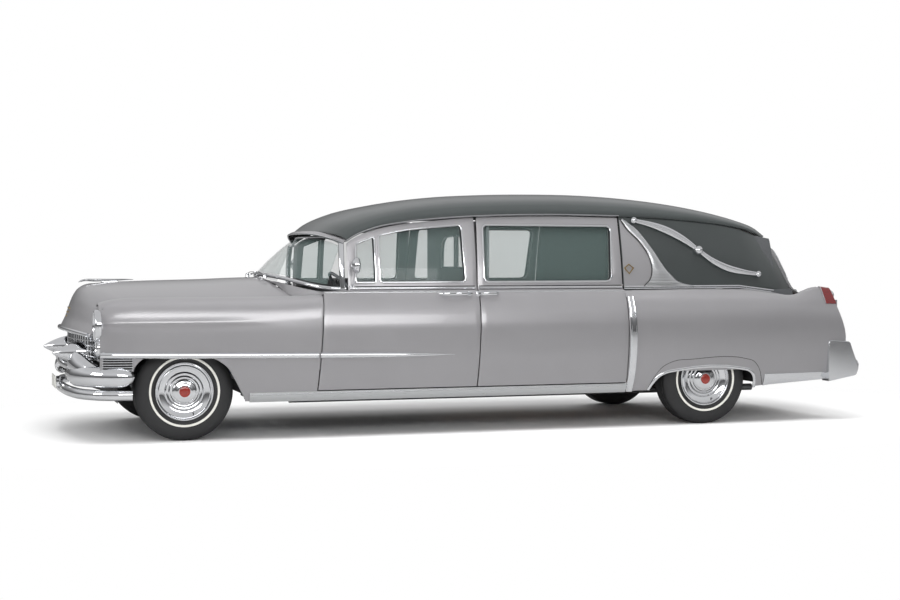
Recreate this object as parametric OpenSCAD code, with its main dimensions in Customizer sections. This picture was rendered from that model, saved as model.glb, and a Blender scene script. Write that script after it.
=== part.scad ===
// Landau hearse of the middle 1950s. Front faces -Y, the car's left side is +X, +Z is up.
// The origin is on the ground under the middle of the car.

/* [Wheels] */
// Radius of the tyre
tyre_r = 345; // [320:1:380]
// Width of the tyre
tyre_w = 200; // [165:1:215]
// Distance between the front and rear axles
wheelbase = 4013; // [3900:1:4150]
// Distance between the front wheels' centre planes
track_front = 1530; // [1480:1:1560]
// Distance between the rear wheels' centre planes
track_rear = 1600; // [1500:1:1640]
// Front axle, from the middle of the car
front_axle_y = -2280; // [-2290:1:-2270]
// Kingpin's place inboard of the wheel's centre plane
kingpin_in = 62; // [60:1:66]

/* [Body] */
// Thickness of a door
door_th = 62; // [50:1:75]
// Thickness of a fender or quarter panel
panel_th = 22; // [16:1:26]
// Thickness of the roof with its lining
roof_th = 34; // [25:1:40]
// Gap along the shut lines
gap = 8; // [7:1:10]
// How far a door's inner outline is drawn in, so that it clears its neighbour
bevel = 16; // [12:1:20]
// Thickness of the window glass
glass_th = 6; // [4:1:8]
// Clearance round a pane in its frame
glass_gap = 1; // [0.5:0.5:2]
// Thickness of sheet floors
floor_th = 20; // [12:1:25]

/* [Cabin] */
// Height of the cabin floor above the ground
cabin_floor_z = 330; // [310:1:340]
// Height of the load floor above the ground
load_floor_z = 640; // [600:1:680]
// Radius of the steering wheel
steering_r = 215; // [190:1:230]

/* [Fixings] */
// Radius of a bier pin's hole in the load floor
bier_hole_r = 8; // [6:1:10]
// Spacing of the bier pin holes across the car
bier_x = 500; // [450:1:560]
// Spacing of the bier pin holes along the car
bier_y = 1700; // [1500:1:1800]
// Radius of a plate's screw hole
plate_hole_r = 3.5; // [3:0.5:4]
// Spacing of a plate's two screw holes
plate_hole_x = 178; // [170:1:185]

/* [Hidden] */

rear_axle_y = front_axle_y + wheelbase;
kingpin_x = track_front / 2 - kingpin_in;
belt_z = 1042;

// Body side below the belt: height, half width
SIDE = [[250, 925], [270, 932], [360, 964], [480, 986], [600, 1000], [760, 1003], [860, 990],
    [960, 960], [1010, 938], [1045, 915]];
// Window plane above the belt: height, half width
GLASS = [[1040, 893], [1200, 868], [1350, 838], [1480, 808], [1600, 778]];
// How the body narrows towards its ends: place, change of half width
PLAN = [[-2960, -100], [-2870, -72], [-2750, -40], [-2500, -12], [-2200, 0], [900, 2],
    [1700, 0], [2200, -15], [2600, -42], [2860, -72], [2960, -100]];
// Top edge of the doors: place, height
DOOR_TOP = [[-1112, 1372], [-1050, 1418], [-900, 1478], [-671, 1522], [-392, 1552],
    [-111, 1574], [514, 1588], [1040, 1580]];
// Front door's front edge below the belt: height, place
DOOR_FRONT = [[340, -1348], [1010, -1300], [1045, -1300]];
// Shut line between the doors: height, place
DOOR_MID = [[340, -155], [1045, -130], [1580, -111]];
door_bottom = 340;
door_rear_y = 1036;
pillar_a_y = -1108;

function mix(a, b, t) = a + (b - a) * t;
function clamp01(t) = min(max(t, 0), 1);
function col(table, c) = [for (row = table) [row[0], row[c]]];
function side_x(y, z) = lookup(z, SIDE) + lookup(y, PLAN);
function glass_x(y, z) = lookup(z, GLASS);

// Normal of a grid of points at one of its points
function grid_normal(P, i, j) = let (
    a = P[min(i + 1, len(P) - 1)][j] - P[max(i - 1, 0)][j],
    b = P[i][min(j + 1, len(P[0]) - 1)] - P[i][max(j - 1, 0)],
    n = cross(a, b)) n / norm(n);
function thicken(P, th) = [for (i = [0:len(P) - 1])
    [for (j = [0:len(P[0]) - 1]) P[i][j] - th * grid_normal(P, i, j)]];

// Closed solid between two grids of points of the same size
module shell(outer, inner) {
    r = len(outer);
    c = len(outer[0]);
    n = r * c;
    points = [for (row = outer) each row, for (row = inner) each row];
    skin = [for (i = [0:r - 2], j = [0:c - 2]) let (a = i * c + j, b = a + 1, d = a + c, e = d + 1)
        each [[a, b, e], [a, e, d]]];
    lining = [for (f = skin) [f[2] + n, f[1] + n, f[0] + n]];
    rim = concat([for (j = [0:c - 1]) j], [for (i = [1:r - 1]) i * c + c - 1],
        [for (j = [c - 2:-1:0]) (r - 1) * c + j], [for (i = [r - 2:-1:1]) i * c]);
    m = len(rim);
    edge = [for (k = [0:m - 1]) let (p = rim[k], q = rim[(k + 1) % m])
        each [[q, p, p + n], [q, p + n, q + n]]];
    polyhedron(points, concat(skin, lining, edge), convexity = 8);
}

// Panel of even thickness under a grid of outer points
module panel(P, th) {
    shell(P, thicken(P, th));
}

// Bar of a convex section [[across, up], ...] swept along a path
module bar(path, section, up = [0, 0, 1]) {
    n = len(path);
    m = len(section);
    points = [for (i = [0:n - 1]) let (
        d = path[min(i + 1, n - 1)] - path[max(i - 1, 0)],
        s = cross(d, up) / norm(cross(d, up)),
        u = cross(s, d) / norm(cross(s, d)))
        for (p = section) path[i] + p[0] * s + p[1] * u];
    walls = [for (i = [0:n - 2], k = [0:m - 1]) let (
        a = i * m + k, b = i * m + (k + 1) % m) each [[a, b + m, a + m], [a, b, b + m]]];
    caps = [for (k = [1:m - 2]) each [[0, k + 1, k],
        [(n - 1) * m, (n - 1) * m + k, (n - 1) * m + k + 1]]];
    polyhedron(points, concat(walls, caps), convexity = 6);
}
function rounded(w, h, sides = 8) = [for (k = [0:sides - 1])
    [cos(360 * (k + 0.5) / sides) * w / 2, sin(360 * (k + 0.5) / sides) * h / 2]];
function rect(w, h) = [[w, -h] / 2, [w, h] / 2, [-w, h] / 2, [-w, -h] / 2];

// Outline with rounded corners from corners [y, z, radius]
function fillet(C, steps = 4) = [for (k = [0:len(C) - 1]) let (
    p = [C[k][0], C[k][1]],
    a = [C[(k + len(C) - 1) % len(C)][0], C[(k + len(C) - 1) % len(C)][1]],
    b = [C[(k + 1) % len(C)][0], C[(k + 1) % len(C)][1]],
    r = C[k][2]) each r == 0 ? [p] : let (
        p0 = p + (a - p) / norm(a - p) * r,
        p1 = p + (b - p) / norm(b - p) * r)
        [for (s = [0:steps]) let (t = s / steps)
            p0 * (1 - t) * (1 - t) + 2 * p * t * (1 - t) + p1 * t * t]];

// Prism that runs across the car's left half, with its outline in [y, z]
module side_cut(outline) {
    translate([600, 0, 0]) rotate([90, 0, 90]) linear_extrude(500) polygon(outline);
}
module both() {
    children();
    mirror([1, 0, 0]) children();
}

// ---- Chassis ----
rail_x = 415;
rail_w = 70;
RAIL = [[-2830, 420], [-2600, 420], [-2350, 470], [-2050, 400], [-1700, 240], [1150, 240],
    [1400, 400], [1560, 500], [1900, 500], [2150, 400], [2750, 400]];
rail_h = 80;

// Propeller shaft: front end [place, height] and its rise to the rear axle
SHAFT = [-1250, 235];
shaft_run = rear_axle_y - 80 - SHAFT[0];
shaft_rise = atan((tyre_r - SHAFT[1]) / shaft_run);
module shaft(r) {
    translate([0, SHAFT[0], SHAFT[1]]) rotate([-90 + shaft_rise, 0, 0])
        cylinder(h = shaft_run / cos(shaft_rise), r = r, $fn = 32);
}

module chassis_frame() {
    color("dimgray") difference() {
        union() {
            both() translate([rail_x - rail_w / 2, 0, 0]) rotate([90, 0, 90])
                linear_extrude(rail_w) polygon(concat(RAIL,
                    [for (k = [len(RAIL) - 1:-1:0]) RAIL[k] + [0, rail_h]]));
            for (c = [[-2760, 425], [-1500, 245], [-300, 245], [900, 245], [2680, 405]])
                translate([-rail_x, c[0] - 40, c[1]]) cube([2 * rail_x, 80, 70]);
            // Hoops round the propeller shaft
            for (c = [[-300, 208, 118], [900, 250, 132]])
                translate([-75, c[0] - 40, c[1]]) cube([150, 80, c[2]]);
        }
        shaft(46);
    }
}

module engine_block() {
    color("slategray") translate([-290, -2450, 420]) cube([580, 900, 470]);
}

module exhaust() {
    pipe_x = 250;
    color("gray") union() {
        translate([pipe_x, -1400, 215]) rotate([-90, 0, 0]) cylinder(h = 3900, r = 27, $fn = 32);
        translate([pipe_x, -100, 250]) rotate([-90, 0, 0]) cylinder(h = 650, r = 52, $fn = 48);
    }
}

module rear_axle() {
    spring_x = 540;
    tube_end = track_rear / 2 - 60;
    color("darkslategray") union() {
        translate([0, rear_axle_y, tyre_r]) rotate([0, 90, 0]) rotate_extrude($fn = 48)
            polygon([[0, -tube_end], [42, -tube_end], [42, -150], [118, -90], [130, -40],
                [130, 40], [118, 90], [42, 150], [42, tube_end], [0, tube_end]]);
        shaft(30);
        both() translate([spring_x - 32, 0, 0]) rotate([90, 0, 90]) linear_extrude(64)
            polygon([[rear_axle_y - 700, 400], [rear_axle_y, 285], [rear_axle_y + 700, 400],
                [rear_axle_y + 700, 428], [rear_axle_y, 330], [rear_axle_y - 700, 428]]);
    }
}

arm_end_x = kingpin_x - 45;
module front_suspension() {
    color("dimgray") union() {
        both() {
            translate([rail_x + 20, front_axle_y, 0]) {
                translate([0, -70, 235]) cube([arm_end_x - rail_x - 20, 140, 30]);
                translate([rail_w / 2 - 20, -40, 470])
                    cube([arm_end_x - rail_x - rail_w / 2, 80, 25]);
            }
            translate([rail_x + 85, front_axle_y, 262]) cylinder(h = 210, r = 48, $fn = 40);
        }
        translate([-rail_x, front_axle_y - 70, 215]) cube([2 * rail_x, 140, 50]);
        both() translate([rail_x, front_axle_y - 70, 235]) cube([40, 140, 30]);
    }
}

module fuel_tank() {
    color("gray") translate([-350, 2180, 300]) cube([700, 460, 190]);
}

// ---- Wheels ----
// Half section of the tyre: radius, distance from the centre plane as a share of the width
module tyre() {
    w = tyre_w / 2;
    rotate_extrude($fn = 64) polygon([[212, -w + 12], [250, -w + 4], [290, -w], [322, -w + 12],
        [tyre_r, -w + 28], [tyre_r, w - 28], [322, w - 12], [290, w], [250, w - 4],
        [212, w - 12], [206, w - 30], [206, -w + 30]]);
}
// Pressed wheel with its cover; the cover faces +Z
module wheel() {
    hub_r = 60;
    face = tyre_w / 2;
    rotate_extrude($fn = 64) polygon([[0, 10], [hub_r + 20, 10], [120, 24], [180, 24],
        [188, -face + 24], [204, -face + 20], [205.5, -face + 30], [205.5, face - 30],
        [204, face - 18], [192, face - 12], [150, face - 16], [90, face - 4], [60, face + 10],
        [0, face + 16]]);
}
module at_wheel(x, y) {
    translate([x, y, tyre_r]) rotate([0, x > 0 ? 90 : -90, 0]) children();
}

// Knuckle with the kingpin, the spindle and the brake's back plate and drum
module knuckle() {
    translate([kingpin_x, front_axle_y, 0]) {
        translate([0, 0, 240]) cylinder(h = 250, r = 24, $fn = 40);
        translate([0, 0, tyre_r]) rotate([0, 90, 0]) cylinder(h = kingpin_in + 6, r = 32, $fn = 40);
        translate([20, 0, tyre_r]) rotate([0, 90, 0]) cylinder(h = 44, r = 140, $fn = 48);
    }
}

// ---- Lower body ----
module floor_pan() {
    color("silver") union() {
        translate([-860, -1240, cabin_floor_z]) cube([1720, load_front_y + 1240, floor_th]);
        both() translate([850, -1330, 272]) cube([72, 2372, 52]);
        both() translate([830, -1240, 300]) cube([60, 2280, cabin_floor_z - 295]);
    }
}

load_front_y = 20;
load_rear_y = 2860;
load_half = 560;
load_sill_half = 860;
module load_floor() {
    y0 = load_front_y + 40;
    color("saddlebrown") difference() {
        translate([0, 0, load_floor_z - 30]) linear_extrude(30) polygon([[-load_sill_half, y0],
            [load_sill_half, y0], [load_sill_half, door_rear_y - 6], [load_half, door_rear_y + 74],
            [load_half, load_rear_y], [-load_half, load_rear_y], [-load_half, door_rear_y + 74],
            [-load_sill_half, door_rear_y - 6]]);
        for (sx = [-1, 1], sy = [-1, 1])
            translate([sx * bier_x / 2, 1450 + sy * bier_y / 2, load_floor_z - 40])
                cylinder(h = 50, r = bier_hole_r, $fn = 32);
    }
}

// Height of the fender's crown along the car
CROWN = [[-2900, 948], [-2870, 962], [-2800, 984], [-2600, 1003], [-1700, 1003], [-1300, 1022]];
hood_half = 722;
// Fender section: from the sill up and over the crown to the hood's edge
function fender_section(y) = let (c = lookup(y, CROWN), s = lookup(y, PLAN)) concat(
    [for (z = [272, 330, 440, 560, 680, 800]) [side_x(y, z), y, z]],
    [[990 + s, y, c - 130], [972 + s, y, c - 70], [938 + s, y, c - 28], [885 + s, y, c - 4],
        [830 + s * 0.8, y, c], [780 + s * 0.5, y, c - 8], [hood_half + gap, y, c - 26]]);
function door_front(z) = lookup(z, DOOR_FRONT);
function fender_rear_shift(z) = z < 1046 ? lookup(z, DOOR_FRONT) + 1348 : 48;

FENDER_Y = [-2868, -2800, -2680, -2560, -2420, -2280, -2140, -2000, -1860, -1700, -1540, -1430,
    -1348];
arch_front = [[-2645, 100, 0], [-2650, 520, 20], [-2590, 603, 60], [-2100, 598, 70],
    [-1990, 520, 40], [-1870, 300, 10], [-1850, 100, 0]];

module front_fender() {
    outer = [for (y = FENDER_Y) [for (p = fender_section(y)) let (
        k = clamp01((y + 1700) / 352), z = min(p[2], 1040),
        shift = (fender_rear_shift(z) - gap) * k) [p[0], p[1] + shift, p[2]]]];
    difference() {
        union() {
            panel(outer, panel_th);
            // Front plate behind the headlamp
            shell([for (x = [734, 805, 880]) [for (z = [640, 800, 920]) [x, -2868, z]]],
                [for (x = [734, 805, 880]) [for (z = [640, 800, 920]) [x, -2846, z]]]);
        }
        side_cut(fillet(arch_front));
        translate([500, -2900, 100]) cube([500, 300, 422]);
    }
}

// ---- Hood and nose ----
// Hood along its centre line, from the lip to the cowl: place, height, drop at the side
HOOD = [[-3058, 764, 30], [-3040, 800, 40], [-3016, 850, 55], [-2992, 920, 75], [-2960, 1000, 100],
    [-2925, 1050, 112], [-2880, 1078, 118], [-2780, 1092, 118], [-2541, 1104, 120],
    [-2280, 1111, 125], [-2025, 1117, 132], [-1800, 1126, 145], [-1604, 1131, 152]];
HOOD_X = [hood_half, 600, 450, 300, 150, 0, -150, -300, -450, -600, -hood_half];
function hood_point(row, x) = let (u = abs(x) / hood_half)
    [x, row[0] + 140 * u * u, row[1] - row[2] * pow(u, 2.2)];
module hood() {
    color("lightgray") panel([for (row = HOOD) [for (x = HOOD_X) hood_point(row, x)]], 20);
}

// Windshield: half width, base [y, z], top [half width, y, z]
SCREEN = [[0, -1574, 1140, 0, -1235, 1450], [300, -1560, 1134, 290, -1208, 1448],
    [500, -1510, 1118, 480, -1168, 1444], [680, -1425, 1090, 640, -1140, 1424],
    [800, -1325, 1064, 742, -1132, 1404], [868, -1222, 1050, 792, -1128, 1388],
    [886, -1125, 1047, 820, -1120, 1382]];
function screen_point(r, v, out = 0) = let (b = [r[0], r[1], r[2]], t = [r[3], r[4], r[5]],
    bow = 16 * sin(180 * v) + out, k = r[0] / 886) mix(b, t, v) + bow * [k, -sqrt(1 - k * k * 0.9), 0.3];
function mirrored(rows) = concat([for (k = [len(rows) - 1:-1:1]) rows[k]], rows);
function side_of(k, n) = k < n - 1 ? -1 : 1;
// Grid of the glass, which ends before the posts
function screen_grid(v0, v1) = let (
    rows = concat([for (k = [0:4]) SCREEN[k]], [mix(SCREEN[4], SCREEN[5], 0.6)]),
    all = mirrored(rows), n = len(rows), V = [v0, mix(v0, v1, .35), mix(v0, v1, .7), v1])
    [for (k = [0:len(all) - 1]) [for (v = V) let (p = screen_point(all[k], v))
        [p[0] * side_of(k, n), p[1], p[2]]]];

module windshield_glass() {
    color("lightblue") panel(screen_grid(0.09, 0.895), glass_th);
}
module screen_rail(v, w, h, out, last = 6) {
    all = mirrored([for (k = [0:last]) SCREEN[k]]);
    bar([for (k = [0:len(all) - 1]) let (p = screen_point(all[k], v, out))
        [p[0] * side_of(k, last + 1), p[1], p[2]]], rounded(w, h));
}
module windshield_frame() {
    color("whitesmoke") union() {
        screen_rail(0.046, 30, 18, -14);
        screen_rail(0.962, 24, 18, -14, 5);
        both() bar([for (v = [0.045, 0.33, 0.66, 0.97]) let (p = screen_point(SCREEN[6], v, 0))
            p + [-16, -22, 0]], rounded(34, 40), [0, 1, 0]);
    }
}

// Cowl between the hood and the windshield: x, front [y, z], rear [y, z]
COWL = [[0, -1590, 1131, -1560, 1112], [288, -1568, 1111, -1548, 1107],
    [480, -1528, 1069, -1500, 1092], [653, -1475, 1012, -1428, 1066],
    [768, -1409, 1036, -1345, 1042], [826, -1296, 1040, -1255, 1028],
    [836, -1230, 1034, -1160, 1026]];
module cowl() {
    rows = mirrored(COWL);
    n = len(COWL);
    color("silver") union() {
        panel([for (t = [1, 0.5, 0]) [for (k = [0:len(rows) - 1]) let (r = rows[k])
            [r[0] * side_of(k, n), mix(r[1], r[3], 1 - t), mix(r[2], r[4], 1 - t)]]], 12);
        translate([-700, -1440, 335]) cube([1400, 22, 675]);
    }
}

// ---- Roof ----
// Roof stations: edge [place, half width, height], centre line [place, height]
ROOF = [[-1104, 816, 1396, -1240, 1478], [-1050, 812, 1430, -1150, 1545],
    [-900, 806, 1490, -1000, 1612], [-671, 800, 1534, -701, 1684], [-300, 794, 1572, -300, 1742],
    [100, 790, 1592, 100, 1767], [514, 787, 1600, 480, 1777], [1047, 784, 1594, 1047, 1769],
    [1400, 776, 1582, 1400, 1742], [1700, 760, 1562, 1720, 1702], [1950, 736, 1538, 1998, 1650],
    [2135, 708, 1512, 2220, 1596], [2270, 660, 1480, 2430, 1538], [2390, 592, 1436, 2580, 1460]];
ROOF_A = [0, 12, 26, 42, 60, 76, 90];
function roof_point(r, a) = let (c = pow(cos(a), 0.8), s = pow(sin(a), 0.9), w = s * s)
    [r[1] * c, mix(r[0], r[3], w), r[2] + (r[4] - r[2]) * s];
module roof() {
    angles = concat(ROOF_A, [for (k = [len(ROOF_A) - 2:-1:0]) 180 - ROOF_A[k]]);
    outer = [for (r = ROOF) [for (a = angles) let (p = roof_point(r, a > 90 ? 180 - a : a))
        [a > 90 ? -p[0] : p[0], p[1], p[2]]]];
    color("dimgray") union() {
        panel(outer, roof_th);
        // Visor over the windshield
        bar([for (x = [-620, -420, -200, 0, 200, 420, 620]) [x, -1215 + x * x * 0.00028, 1480
            - x * x * 0.00003]], [[60, -10], [60, 12], [-26, 0], [-26, -8]]);
    }
}

// Upper quarter round the rear corner: base [x, y, z], top [x, y, z]
LANDAU = [[893, 1047, 1048, 784, 1047, 1588], [882, 1400, 1048, 776, 1400, 1576],
    [868, 1700, 1048, 760, 1700, 1556], [850, 1950, 1046, 736, 1950, 1532],
    [828, 2150, 1040, 708, 2130, 1500], [794, 2330, 1034, 657, 2270, 1464],
    [730, 2500, 1006, 628, 2345, 1438], [614, 2655, 990, 594, 2400, 1418]];
module landau_panel() {
    outer = [for (r = LANDAU) [for (v = [0, 0.25, 0.5, 0.75, 1])
        let (b = [r[0], r[1], r[2]], t = [r[3], r[4], r[5]], bow = 10 * sin(180 * v))
        mix(b, t, v) + [bow, bow * clamp01((r[1] - 2000) / 500), 0]]];
    panel(outer, roof_th);
}
module landau_bars() {
    B = [[1193, 1554], [1432, 1497], [1617, 1411], [1697, 1352], [1813, 1272], [1988, 1186],
        [2191, 1159]];
    color("whitesmoke") both() bar([for (p = B) [landau_x(p[0], p[1]) + 24, p[0], p[1]]],
        rounded(24, 36, 8), [1, 0, 0]);
}
function landau_x(y, z) = let (
    low = lookup(y, [for (r = LANDAU) [r[1], r[2]]]), high = lookup(y, [for (r = LANDAU) [r[4], r[5]]]),
    v = clamp01((z - low) / (high - low)))
    mix(lookup(y, [for (r = LANDAU) [r[1], r[0]]]), lookup(y, [for (r = LANDAU) [r[4], r[3]]]), v)
    + 10 * sin(180 * v);

// ---- Doors ----
LOW_Z = [340, 400, 480, 600, 700, 780, 860, 920, 970, 1010, 1036];
UP_V = [0, 0.3, 0.6, 0.85, 1];
door_gap_top = 10;
function mid_y(z, s) = lookup(z, DOOR_MID) + s * (gap / 2 + 8 * clamp01((z - 1045) / 500));

// Outline of a door at one height: [front, rear]
function front_door_span(z, up) = [up ? pillar_a_y : door_front(z), mid_y(z, -1)];
function rear_door_span(z, up) = [mid_y(z, 1), door_rear_y];

// Grid of one face of a door; inset draws the outline in, depth moves it into the car
function door_face(front, rows, inset, depth) = [for (i = [0:rows]) let (t = i / rows) concat(
    [for (z0 = LOW_Z) let (
        s = front ? front_door_span(z0, false) : rear_door_span(z0, false),
        y = mix(s[0] + inset, s[1] - inset, t), z = max(z0, door_bottom + inset * 0.6))
        [side_x(y, z) - depth, y, z]],
    [for (v = UP_V) let (
        z1 = mix(1046, 1500, v),
        s = front ? front_door_span(z1, true) : rear_door_span(z1, true),
        y = mix(s[0] + inset, s[1] - inset, t),
        z = mix(1046, lookup(y, DOOR_TOP) - inset * 0.6, v))
        [glass_x(y, z) - depth, y, z]])];

front_window = [[-868, 1100, 20], [-868, 1438, 30], [-660, 1482, 120], [-225, 1520, 40],
    [-215, 1100, 40]];
vent_window = [[-1052, 1100, 20], [-1040, 1376, 20], [-898, 1430, 20], [-898, 1100, 20]];
rear_window = [[-72, 1100, 40], [-60, 1520, 40], [975, 1518, 50], [948, 1100, 50]];

module door_shell(front, rows) {
    shell(door_face(front, rows, 0, 0), door_face(front, rows, bevel, door_th));
}
module front_door() {
    difference() {
        door_shell(true, 6);
        side_cut(fillet(front_window));
        side_cut(fillet(vent_window));
    }
}
module rear_door() {
    difference() {
        door_shell(false, 5);
        side_cut(fillet(rear_window));
    }
}
// Pane of glass: the window's outline cut from a sheet along the window plane
function shrink(C, d) = let (cy = (C[0][0] + C[2][0]) / 2, cz = (C[0][1] + C[2][1]) / 2)
    [for (p = C) [p[0] + (p[0] < cy ? d : -d), p[1] + (p[1] < cz ? d : -d), p[2]]];
module pane(y0, y1, outlines) {
    Y = [y0, (y0 + y1) / 2, y1];
    Z = [1060, 1200, 1350, 1480, 1560];
    intersection() {
        shell([for (y = Y) [for (z = Z) [glass_x(y, z) - 24, y, z]]],
            [for (y = Y) [for (z = Z) [glass_x(y, z) - 24 - glass_th, y, z]]]);
        union() for (o = outlines) side_cut(fillet(shrink(o, glass_gap)));
    }
}

// ---- Quarter panel ----
// Stations along the quarter: place, shoulder height, crest height, inner crest's and shelf's
// [narrowing, height], inner edge of the shelf
QUARTER = [[1044, 962, 1003, 34, 1036, 850, 1038], [1300, 962, 1003, 34, 1036, 846, 1038],
    [1600, 961, 1002, 34, 1036, 838, 1038], [1900, 960, 1000, 36, 1034, 822, 1036],
    [2150, 958, 996, 40, 1026, 796, 1030], [2350, 956, 990, 46, 1004, 756, 1012],
    [2500, 954, 986, 50, 984, 704, 978], [2580, 968, 1014, 52, 992, 650, 966],
    [2650, 978, 1040, 50, 1016, 624, 962], [2750, 978, 1046, 48, 1024, 612, 960],
    [2860, 970, 1038, 46, 1016, 606, 956]];
QUARTER_LOW = [[1044, 272], [2100, 278], [2280, 296], [2860, 330]];
arch_rear = [[1218, 100], [1228, 268], [1264, 331], [1312, 380], [1371, 405], [1443, 417],
    [2010, 419], [2063, 408], [2106, 381], [2131, 333], [2140, 266], [2143, 100]];
// Points of the section that lie on the side, by height, and how the inner face is set in
QUARTER_Z = [360, 480, 600, 720, 830, 900];
function quarter_section(q) = let (y = q[0], low = lookup(y, QUARTER_LOW), s = lookup(y, PLAN))
    concat([[side_x(y, low), y, low]], [for (z = QUARTER_Z) [side_x(y, z), y, z]],
    [[958 + s, y, q[1]], [922 + s, y, q[2]], [922 + s - q[3], y, q[4]], [q[5], y, q[6]]]);
function quarter_inset(j) = panel_th * (j < 8 ? [-1, 0, -0.1 * max(j - 5, 0)]
    : j == 8 ? [-0.6, 0, -1.1] : [-0.1, 0, -1.05]);
module quarter_panel() {
    outer = [for (q = QUARTER) quarter_section(q)];
    difference() {
        shell(outer, [for (row = outer) [for (j = [0:len(row) - 1]) row[j] + quarter_inset(j)]]);
        side_cut(arch_rear);
    }
}
// Depth of the rear face: height, place at its inner edge
REAR_FACE = [[330, 2950], [500, 2942], [700, 2926], [850, 2906], [945, 2884]];
module rear_panels() {
    color("silver") {
        both() panel([for (r = REAR_FACE) [for (x = [606, 720, 820, 905])
            [x, max(r[1] - pow((x - 606) / 300, 2) * 14, 2886), r[0]]]], panel_th);
        // Valance below the load door
        translate([-600, 2930, 345]) cube([1200, panel_th, 300]);
    }
}
module center_pillars() {
    color("silver") both() union() {
        bar([[868, -143, cabin_floor_z + 28], [903, -136, 700], [805, -132, 1046],
            [773, -124, 1250], [706, -112, 1540]], rect(56, 34), [1, 0, 0]);
        bar([[868, 1072, cabin_floor_z + 28], [895, 1072, 700], [835, 1072, 960]], rect(56, 34), [1, 0, 0]);
    }
}

// ---- Load door ----
// Profile of the load door: height, place at the centre
TAIL = [[660, 2965], [760, 2960], [860, 2952], [930, 2942], [990, 2923], [1050, 2893], [1130, 2843],
    [1226, 2795], [1342, 2719], [1405, 2655]];
load_door_half = 580;
function tail_y(x, z) = lookup(z, TAIL)
    - mix(95, 240, clamp01((z - 930) / 120)) * pow(abs(x) / 580, 2);
function load_face(inset, depth) = [for (row = TAIL) let (
    z = min(max(row[0], 660 + inset), 1405 - inset))
    [for (u = [-1, -0.66, -0.33, 0, 0.33, 0.66, 1]) let (
        half = mix(load_door_half, load_door_half - 16, clamp01((z - 1050) / 350)), x = u * (half - inset))
        [x, tail_y(x, z) - depth, z - (z > 1050 ? 0.25 * depth * clamp01((z - 1050) / 200) : 0)]]];
module load_door() {
    color("lightgray") difference() {
        shell(load_face(0, 0), load_face(26, 60));
        translate([0, 2300, 0]) rotate([-90, 0, 0]) mirror([0, 1, 0]) linear_extrude(800)
            polygon(fillet([[-430, 1110, 50], [-385, 1345, 60], [385, 1345, 60], [430, 1110, 50]]));
    }
}
module load_door_glass() {
    color("lightblue") intersection() {
        shell(load_face(60, 24), load_face(60, 24 + glass_th));
        translate([0, 2300, 0]) rotate([-90, 0, 0]) mirror([0, 1, 0]) linear_extrude(800)
            polygon(fillet([[-429, 1111, 50], [-384, 1344, 60], [384, 1344, 60], [429, 1111, 50]]));
    }
}

// ---- Bumpers, grille and lamps ----
module plate_holes(y) {
    for (s = [-1, 1]) translate([s * plate_hole_x / 2, y, 390]) rotate([-90, 0, 0])
        cylinder(h = 120, r = plate_hole_r, $fn = 24);
}
bullet_x = 450;
bullet_z = 600;
module front_bumper() {
    P = [[-960, -2660, 425], [-905, -2830, 425], [-780, -2950, 425], [-500, -3030, 425],
        [0, -3060, 425], [500, -3030, 425], [780, -2950, 425], [905, -2830, 425],
        [960, -2660, 425]];
    color("whitesmoke") difference() {
        union() {
            bar(P, [[28, -95], [46, -40], [46, 40], [28, 85], [-20, 85], [-20, -95]]);
            both() translate([bullet_x, -3040, bullet_z]) rotate([90, 0, 0])
                rotate_extrude($fn = 40) polygon([[0, -80], [80, -80], [80, -20], [66, 40],
                    [40, 85], [14, 108], [0, 110]]);
            both() translate([bullet_x - 40, -3030, 480]) cube([80, 60, 80]);
            translate([-160, -3112, 330]) cube([320, 12, 90]);
            for (s = [-1, 1]) translate([s * 140 - 8, -3104, 340]) cube([16, 40, 60]);
        }
        plate_holes(-3130);
    }
}
module grille() {
    color("whitesmoke") union() {
        for (z = [605, 645, 685, 725]) bar([for (x = [-640, -430, -220, 0, 220, 430, 640])
            [x, -2985 + 150 * pow(x / 720, 2), z]], rect(26, 8));
        for (x = [-600:75:600]) translate([x - 3, -2990 + 150 * pow(x / 720, 2), 590])
            cube([6, 24, 145]);
    }
}
module headlamps() {
    color("whitesmoke") both() translate([842, -2872, 805]) rotate([90, 0, 0])
        rotate_extrude($fn = 56) polygon([[0, 2], [90, 2], [110, 2], [104, 30], [92, 26],
            [86, 14], [56, 20], [0, 26]]);
}
module rear_bumper() {
    P = [[-962, 2700, 430], [-950, 2870, 430], [-892, 3020, 430], [-700, 3100, 430], [0, 3135, 430],
        [700, 3100, 430], [892, 3020, 430], [950, 2870, 430], [962, 2700, 430]];
    color("whitesmoke") difference() {
        union() {
            bar(P, [[-20, -90], [20, -85], [34, -40], [34, 40], [16, 80], [-20, 80]], [0, 0, -1]);
            translate([-160, 3165, 330]) cube([320, 10, 90]);
            for (s = [-1, 1]) translate([s * 140 - 8, 3130, 340]) cube([16, 40, 60]);
        }
        plate_holes(3080);
    }
}
module tail_lamps() {
    color("firebrick") both() translate([846, 2868, 984]) rotate([-90, 0, 0])
        rotate_extrude($fn = 40) polygon([[0, 0], [34, 0], [34, 20], [28, 34], [14, 42], [0, 44]]);
}

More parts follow.
